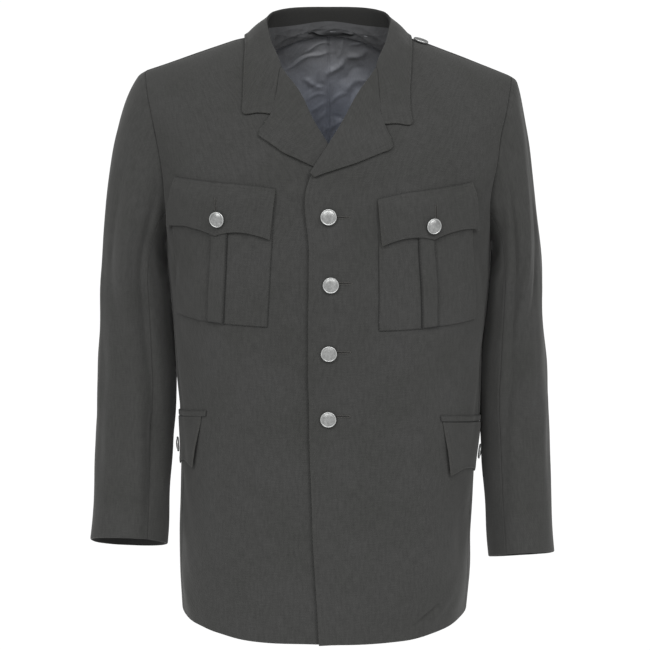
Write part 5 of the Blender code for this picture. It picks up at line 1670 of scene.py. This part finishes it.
def wool_gabardine(colours):
    """Worsted wool gabardine, woven in a steep twill: matt, with a soft sheen at grazing angles."""
    made, tree, shader = blank("Worsted wool gabardine")
    base, weave = tuple(colours.wool), weave_of(tree)
    links = {"Scale": 1 / TWILL / 20 * math.pi, "Distortion": 1.2, "Detail": 2.0, "Detail Scale": 3.0}
    twill = node(
        tree, "ShaderNodeTexWave", {"Vector": mapped(tree, weave, (1, 1, 1), TWILL_TURN), **links},
        wave_type="BANDS", bands_direction="X", wave_profile="SIN",
    )
    slub = noise(tree, mapped(tree, weave, (90, 620, 1)), 1.0, 3.0, 0.6)
    warp = noise(tree, mapped(tree, weave, (330, 75, 1)), 1.0)
    grain, drift = noise(tree, weave, 900.0, 2.0, 0.7), noise(tree, place_of(tree), 16.0, 4.0, 0.6)
    tones = [
        ramp(tree, slub, 0.36, 0.66, scaled(base, 0.91), scaled(base, 1.08)),
        ramp(tree, drift, 0.3, 0.7, (0.91, 0.92, 0.90), (1.07, 1.07, 1.08)),
        ramp(tree, grain, 0.3, 0.7, grey(0.88), grey(1.13)),
        ramp(tree, warp, 0.3, 0.62, grey(0.86), grey(1.05)),
    ]
    # Free edges lighter with wear and a painted highlight; seams, pleat folds and armholes darker with
    # painted shade
    for tone in EDGE_TONES:
        tones.append(ramp(tree, attribute(tree, tone.kind), tone.low, tone.high, tone.colour, grey(1.0)))
    height = node(tree, "ShaderNodeMath", {0: twill.outputs["Fac"], 1: slub}, operation="ADD").outputs[0]
    dressed(tree, shader, product(tree, *tones), {
        "Roughness": 0.88, "Specular IOR Level": 0.25,
        "Sheen Weight": 0.12, "Sheen Roughness": 0.5, "Sheen Tint": (0.8, 0.8, 0.78, 1),
    }, (0.35, 0.25 * MM, height))
    return made


def rayon_lining(colours, name="Rayon twill lining", share=1.0, roughness=0.5):
    """Rayon twill lining, woven smooth: a cool grey with a soft sheen and fine cross creases, and painted
    light that is lighter and bluer low down and darker and warmer towards the neck.
    """
    made, tree, shader = blank(name)
    base, place = scaled(tuple(colours.lining), share), place_of(tree)
    thread = noise(tree, mapped(tree, weave_of(tree), (900, 240, 1)), 1.0)
    crush = noise(tree, place, 60.0, 5.0, 0.62, 0.8)
    # Painted light by height: lighter and bluer low in the back, darker and warmer towards the neck
    links = {"Value": node(tree, "ShaderNodeSeparateXYZ", {"Vector": place}).outputs["Z"]}
    links |= dict(zip(("From Min", "From Max"), LINING_PAINTED_LIGHT_HEIGHTS))
    upward = node(tree, "ShaderNodeMapRange", links).outputs[0]
    tones = (
        ramp(tree, crush, 0.3, 0.72, scaled(base, 0.82), scaled(base, 1.16)),
        ramp(tree, upward, 0.0, 1.0, (0.86, 0.90, 1.00), (0.78, 0.77, 0.75)),
        ramp(tree, thread, 0.3, 0.7, grey(0.92), grey(1.08)),
    )
    values = {"Roughness": roughness, "Sheen Weight": 0.15, "Sheen Roughness": 0.35}
    dressed(tree, shader, product(tree, *tones), values, (0.5, 1.2 * MM, crush))
    return made


def gathered_rayon(colours):
    """Rayon twill of the gathered strip at the neck: the lining's own material darkened to a fifth as painted
    shade under the collar.
    """
    return rayon_lining(colours, "Worn rayon twill", 0.21, 0.85)


def stamped_metal(colours):
    """Stamped aluminium button, pebbled in the die and dulled by wear: the rim is rubbed bright."""
    made, tree, shader = blank("Pebbled stamped aluminium")
    base, place = tuple(colours.metal), place_of(tree)
    pebble = node(tree, "ShaderNodeTexVoronoi", {"Vector": place, "Scale": 1 / (0.85 * MM)}, feature="F1")
    tone = ramp(tree, noise(tree, place, 260.0, 4.0, 0.65), 0.32, 0.7, scaled(base, 0.62), base)
    links = {0: attribute(tree, "rim"), 6: tone, 7: (*scaled(base, 1.45), 1)}
    rubbed = node(tree, "ShaderNodeMix", links, data_type="RGBA").outputs[2]
    bump = (0.5, 0.18 * MM, pebble.outputs["Distance"])
    dressed(tree, shader, rubbed, {"Metallic": 0.85, "Roughness": 0.42}, bump)
    return made


# Plain finishes, each a colour that wanders with fine speckles: the material's name, the colour and
# its share, the speckles' scale, detail and roughness, the darkest and lightest share, the gloss
Speckled = namedtuple("Speckled", "name colour share scale detail rough dark light roughness specular")
SPECKLED = {
    # Under the collar: duller than the cloth, with no weave, and darker, partly as melton is and partly as
    # painted shade under the fold
    "melton": Speckled("Felted wool melton", "wool", 0.72, 700.0, 3.0, 0.7, 0.85, 1.15, 0.95, 0.2),
    # Twisted and waxed: a little lighter than the wool
    "thread": Speckled("Mercerised cotton thread", "thread", 1, 1500.0, 1.0, 0.5, 0.85, 1.15, 0.7, 0.5),
    # A little lighter and glossier than the sewing thread
    "purl": Speckled("Silk buttonhole twist", "thread", 1.5, 1800.0, 1.0, 0.5, 0.8, 1.2, 0.55, 0.5),
    # Nearly black: painted shade in the slit of a buttonhole, with the faint unevenness of cut fibres
    "shade": Speckled("Cut edge of the wool", "wool", 0.2, 2000.0, 2.0, 0.5, 0.7, 1.3, 1.0, 0.5),
    # Matt white paper with the faint unevenness of a laid sheet
    "floor": Speckled("Matt paper floor", "floor", 1, 0.5, 2.0, 0.5, 0.985, 1.0, 1.0, 0.0),
}


def speckled(colours, finish):
    """A plain finish: its colour wanders between the dark and the light share with the speckles."""
    made, tree, shader = blank(finish.name)
    base = scaled(tuple(getattr(colours, finish.colour)), finish.share)
    speckles = noise(tree, place_of(tree), finish.scale, finish.detail, finish.rough)
    tone = ramp(tree, speckles, 0.3, 0.7, scaled(base, finish.dark), scaled(base, finish.light))
    dressed(tree, shader, tone, {"Roughness": finish.roughness, "Specular IOR Level": finish.specular})
    return made


FINISHES = {"wool": wool_gabardine, "lining": rayon_lining, "strip": gathered_rayon, "metal": stamped_metal}
MADE = {}


def material(name):
    """The material of that name, made when it is first asked for."""
    if name not in MADE:
        colours = bpy.context.scene.jacket_colours
        special = FINISHES.get(name)
        MADE[name] = special(colours) if special else speckled(colours, SPECKLED[name])
    return MADE[name]


# Soft lights: strength, apparent size, azimuth from the front towards the wearer's left, elevation
Light = namedtuple("Light", "name strength spread azimuth elevation")
LIGHTS = table_of(
    Light,
    ("key_left", 1.55, 20, 37, 36), ("key_right", 1.55, 20, -36, 36), ("key_front", 0.82, 20, 3, 48),
)
ROOM_LIGHT = 0.40
FLOOR_HALF = 40.0


def add_sun(light):
    """Distant soft light from a direction."""
    lamp = bpy.data.lights.new(light.name, "SUN")
    lamp.energy = light.strength
    lamp.angle = math.radians(light.spread)
    sun = bpy.data.objects.new(light.name, lamp)
    bpy.context.scene.collection.objects.link(sun)
    a, e = math.radians(light.azimuth), math.radians(light.elevation)
    away = Vector((math.sin(a) * math.cos(e), -math.cos(a) * math.cos(e), math.sin(e)))
    sun.rotation_mode = "QUATERNION"
    sun.rotation_quaternion = away.to_track_quat("Z", "Y")


class Jacket_OT_stage(bpy.types.Operator):
    """Pale floor, soft studio light and the camera"""

    bl_idname = "jacket.stage"
    bl_label = "Stage"

    def execute(self, context):
        scene = context.scene
        corners = np.array([(-1, -1, 0), (1, -1, 0), (1, 1, 0), (-1, 1, 0)]) * FLOOR_HALF + (0, 0, FLOOR)
        faces = (np.array([[0, 1, 2, 3]]),)
        floor = build_mesh("studio_floor", corners, faces, materials=(material("floor"),))
        for light in LIGHTS:
            add_sun(light)
        world = bpy.data.worlds.new("Soft studio")
        world.use_nodes = True
        background = world.node_tree.nodes["Background"]
        background.inputs["Color"].default_value = (1, 1, 1, 1)
        background.inputs["Strength"].default_value = ROOM_LIGHT
        scene.world = world
        scene.view_settings.view_transform = "Standard"
        target = Vector(LOOKS_AT)
        camera = bpy.data.cameras.new("photo_camera")
        camera.lens = LENS
        camera.sensor_width = SENSOR
        eye = bpy.data.objects.new("photo_camera", camera)
        scene.collection.objects.link(eye)
        eye.location = target + DISTANCE * Vector((0, -math.cos(ELEVATION), math.sin(ELEVATION)))
        eye.rotation_mode = "QUATERNION"
        eye.rotation_quaternion = (eye.location - target).to_track_quat("Z", "Y")
        scene.camera = eye
        return {"FINISHED"}


def colour_of(name, description, hex_colour):
    """Colour property with its sRGB default."""
    default = linear(hex_colour)
    return FloatVectorProperty(name=name, description=description, subtype="COLOR", default=default)


def length_of(name, description, default):
    """Size property in metres."""
    return FloatProperty(name=name, description=description, default=default, unit="LENGTH", precision=5)


class JacketColours(bpy.types.PropertyGroup):
    """Colours of the jacket and its floor"""

    wool: colour_of("Wool", "Main cloth", "#313130")
    lining: colour_of("Lining", "Lining cloth", "#7b7d82")
    metal: colour_of("Metal", "Buttons", "#a2a3a2")
    thread: colour_of("Thread", "Sewing thread", "#3a3937")
    floor: colour_of("Floor", "Studio floor", "#f4f4f4")


class JacketSizes(bpy.types.PropertyGroup):
    """Sizes of the sewing and of the cloth turned inside"""

    facing: length_of("Facing", "Good cloth inside each front's edge", 95 * MM)
    turn_up: length_of("Turn-up", "Good cloth turned inside at the hem and the cuffs", 42 * MM)
    stitch: length_of("Stitch", "Length of a stitch", 2.7 * MM)
    stitch_gap: length_of("Stitch gap", "Gap between two stitches", 0.8 * MM)
    thread: length_of("Thread", "Thickness of the thread", 0.42 * MM)
    buttonhole: length_of("Buttonhole", "Length of a buttonhole with its stitches", 22 * MM)


class Jacket_PT_panel(bpy.types.Panel):
    """Lists the colours, the sizes, and the steps in the order in which they are run"""

    bl_label = "Jacket"
    bl_idname = "JACKET_PT_panel"
    bl_space_type = "VIEW_3D"
    bl_region_type = "UI"
    bl_category = "Jacket"

    def draw(self, context):
        for group in (context.scene.jacket_colours, context.scene.jacket_sizes):
            for name in group.__annotations__:
                self.layout.prop(group, name)
        for step in STEPS:
            self.layout.operator(step.bl_idname)


STEPS = (
    Jacket_OT_body,
    Jacket_OT_sleeves,
    Jacket_OT_collar,
    Jacket_OT_pockets,
    Jacket_OT_lining,
    Jacket_OT_buttons,
    Jacket_OT_sewing,
    Jacket_OT_stage,
)


CLASSES = (JacketColours, JacketSizes, *STEPS, Jacket_PT_panel)


def register():
    """Adds the classes and the jacket's properties."""
    for one in CLASSES:
        bpy.utils.register_class(one)
    bpy.types.Scene.jacket_colours = PointerProperty(type=JacketColours)
    bpy.types.Scene.jacket_sizes = PointerProperty(type=JacketSizes)


def unregister():
    """Takes them away again."""
    del bpy.types.Scene.jacket_sizes
    del bpy.types.Scene.jacket_colours
    for one in reversed(CLASSES):
        bpy.utils.unregister_class(one)


def main():
    """Runs every step."""
    register()
    for step in STEPS:
        group, name = step.bl_idname.split(".")
        getattr(getattr(bpy.ops, group), name)()


if __name__ == "__main__":
    main()
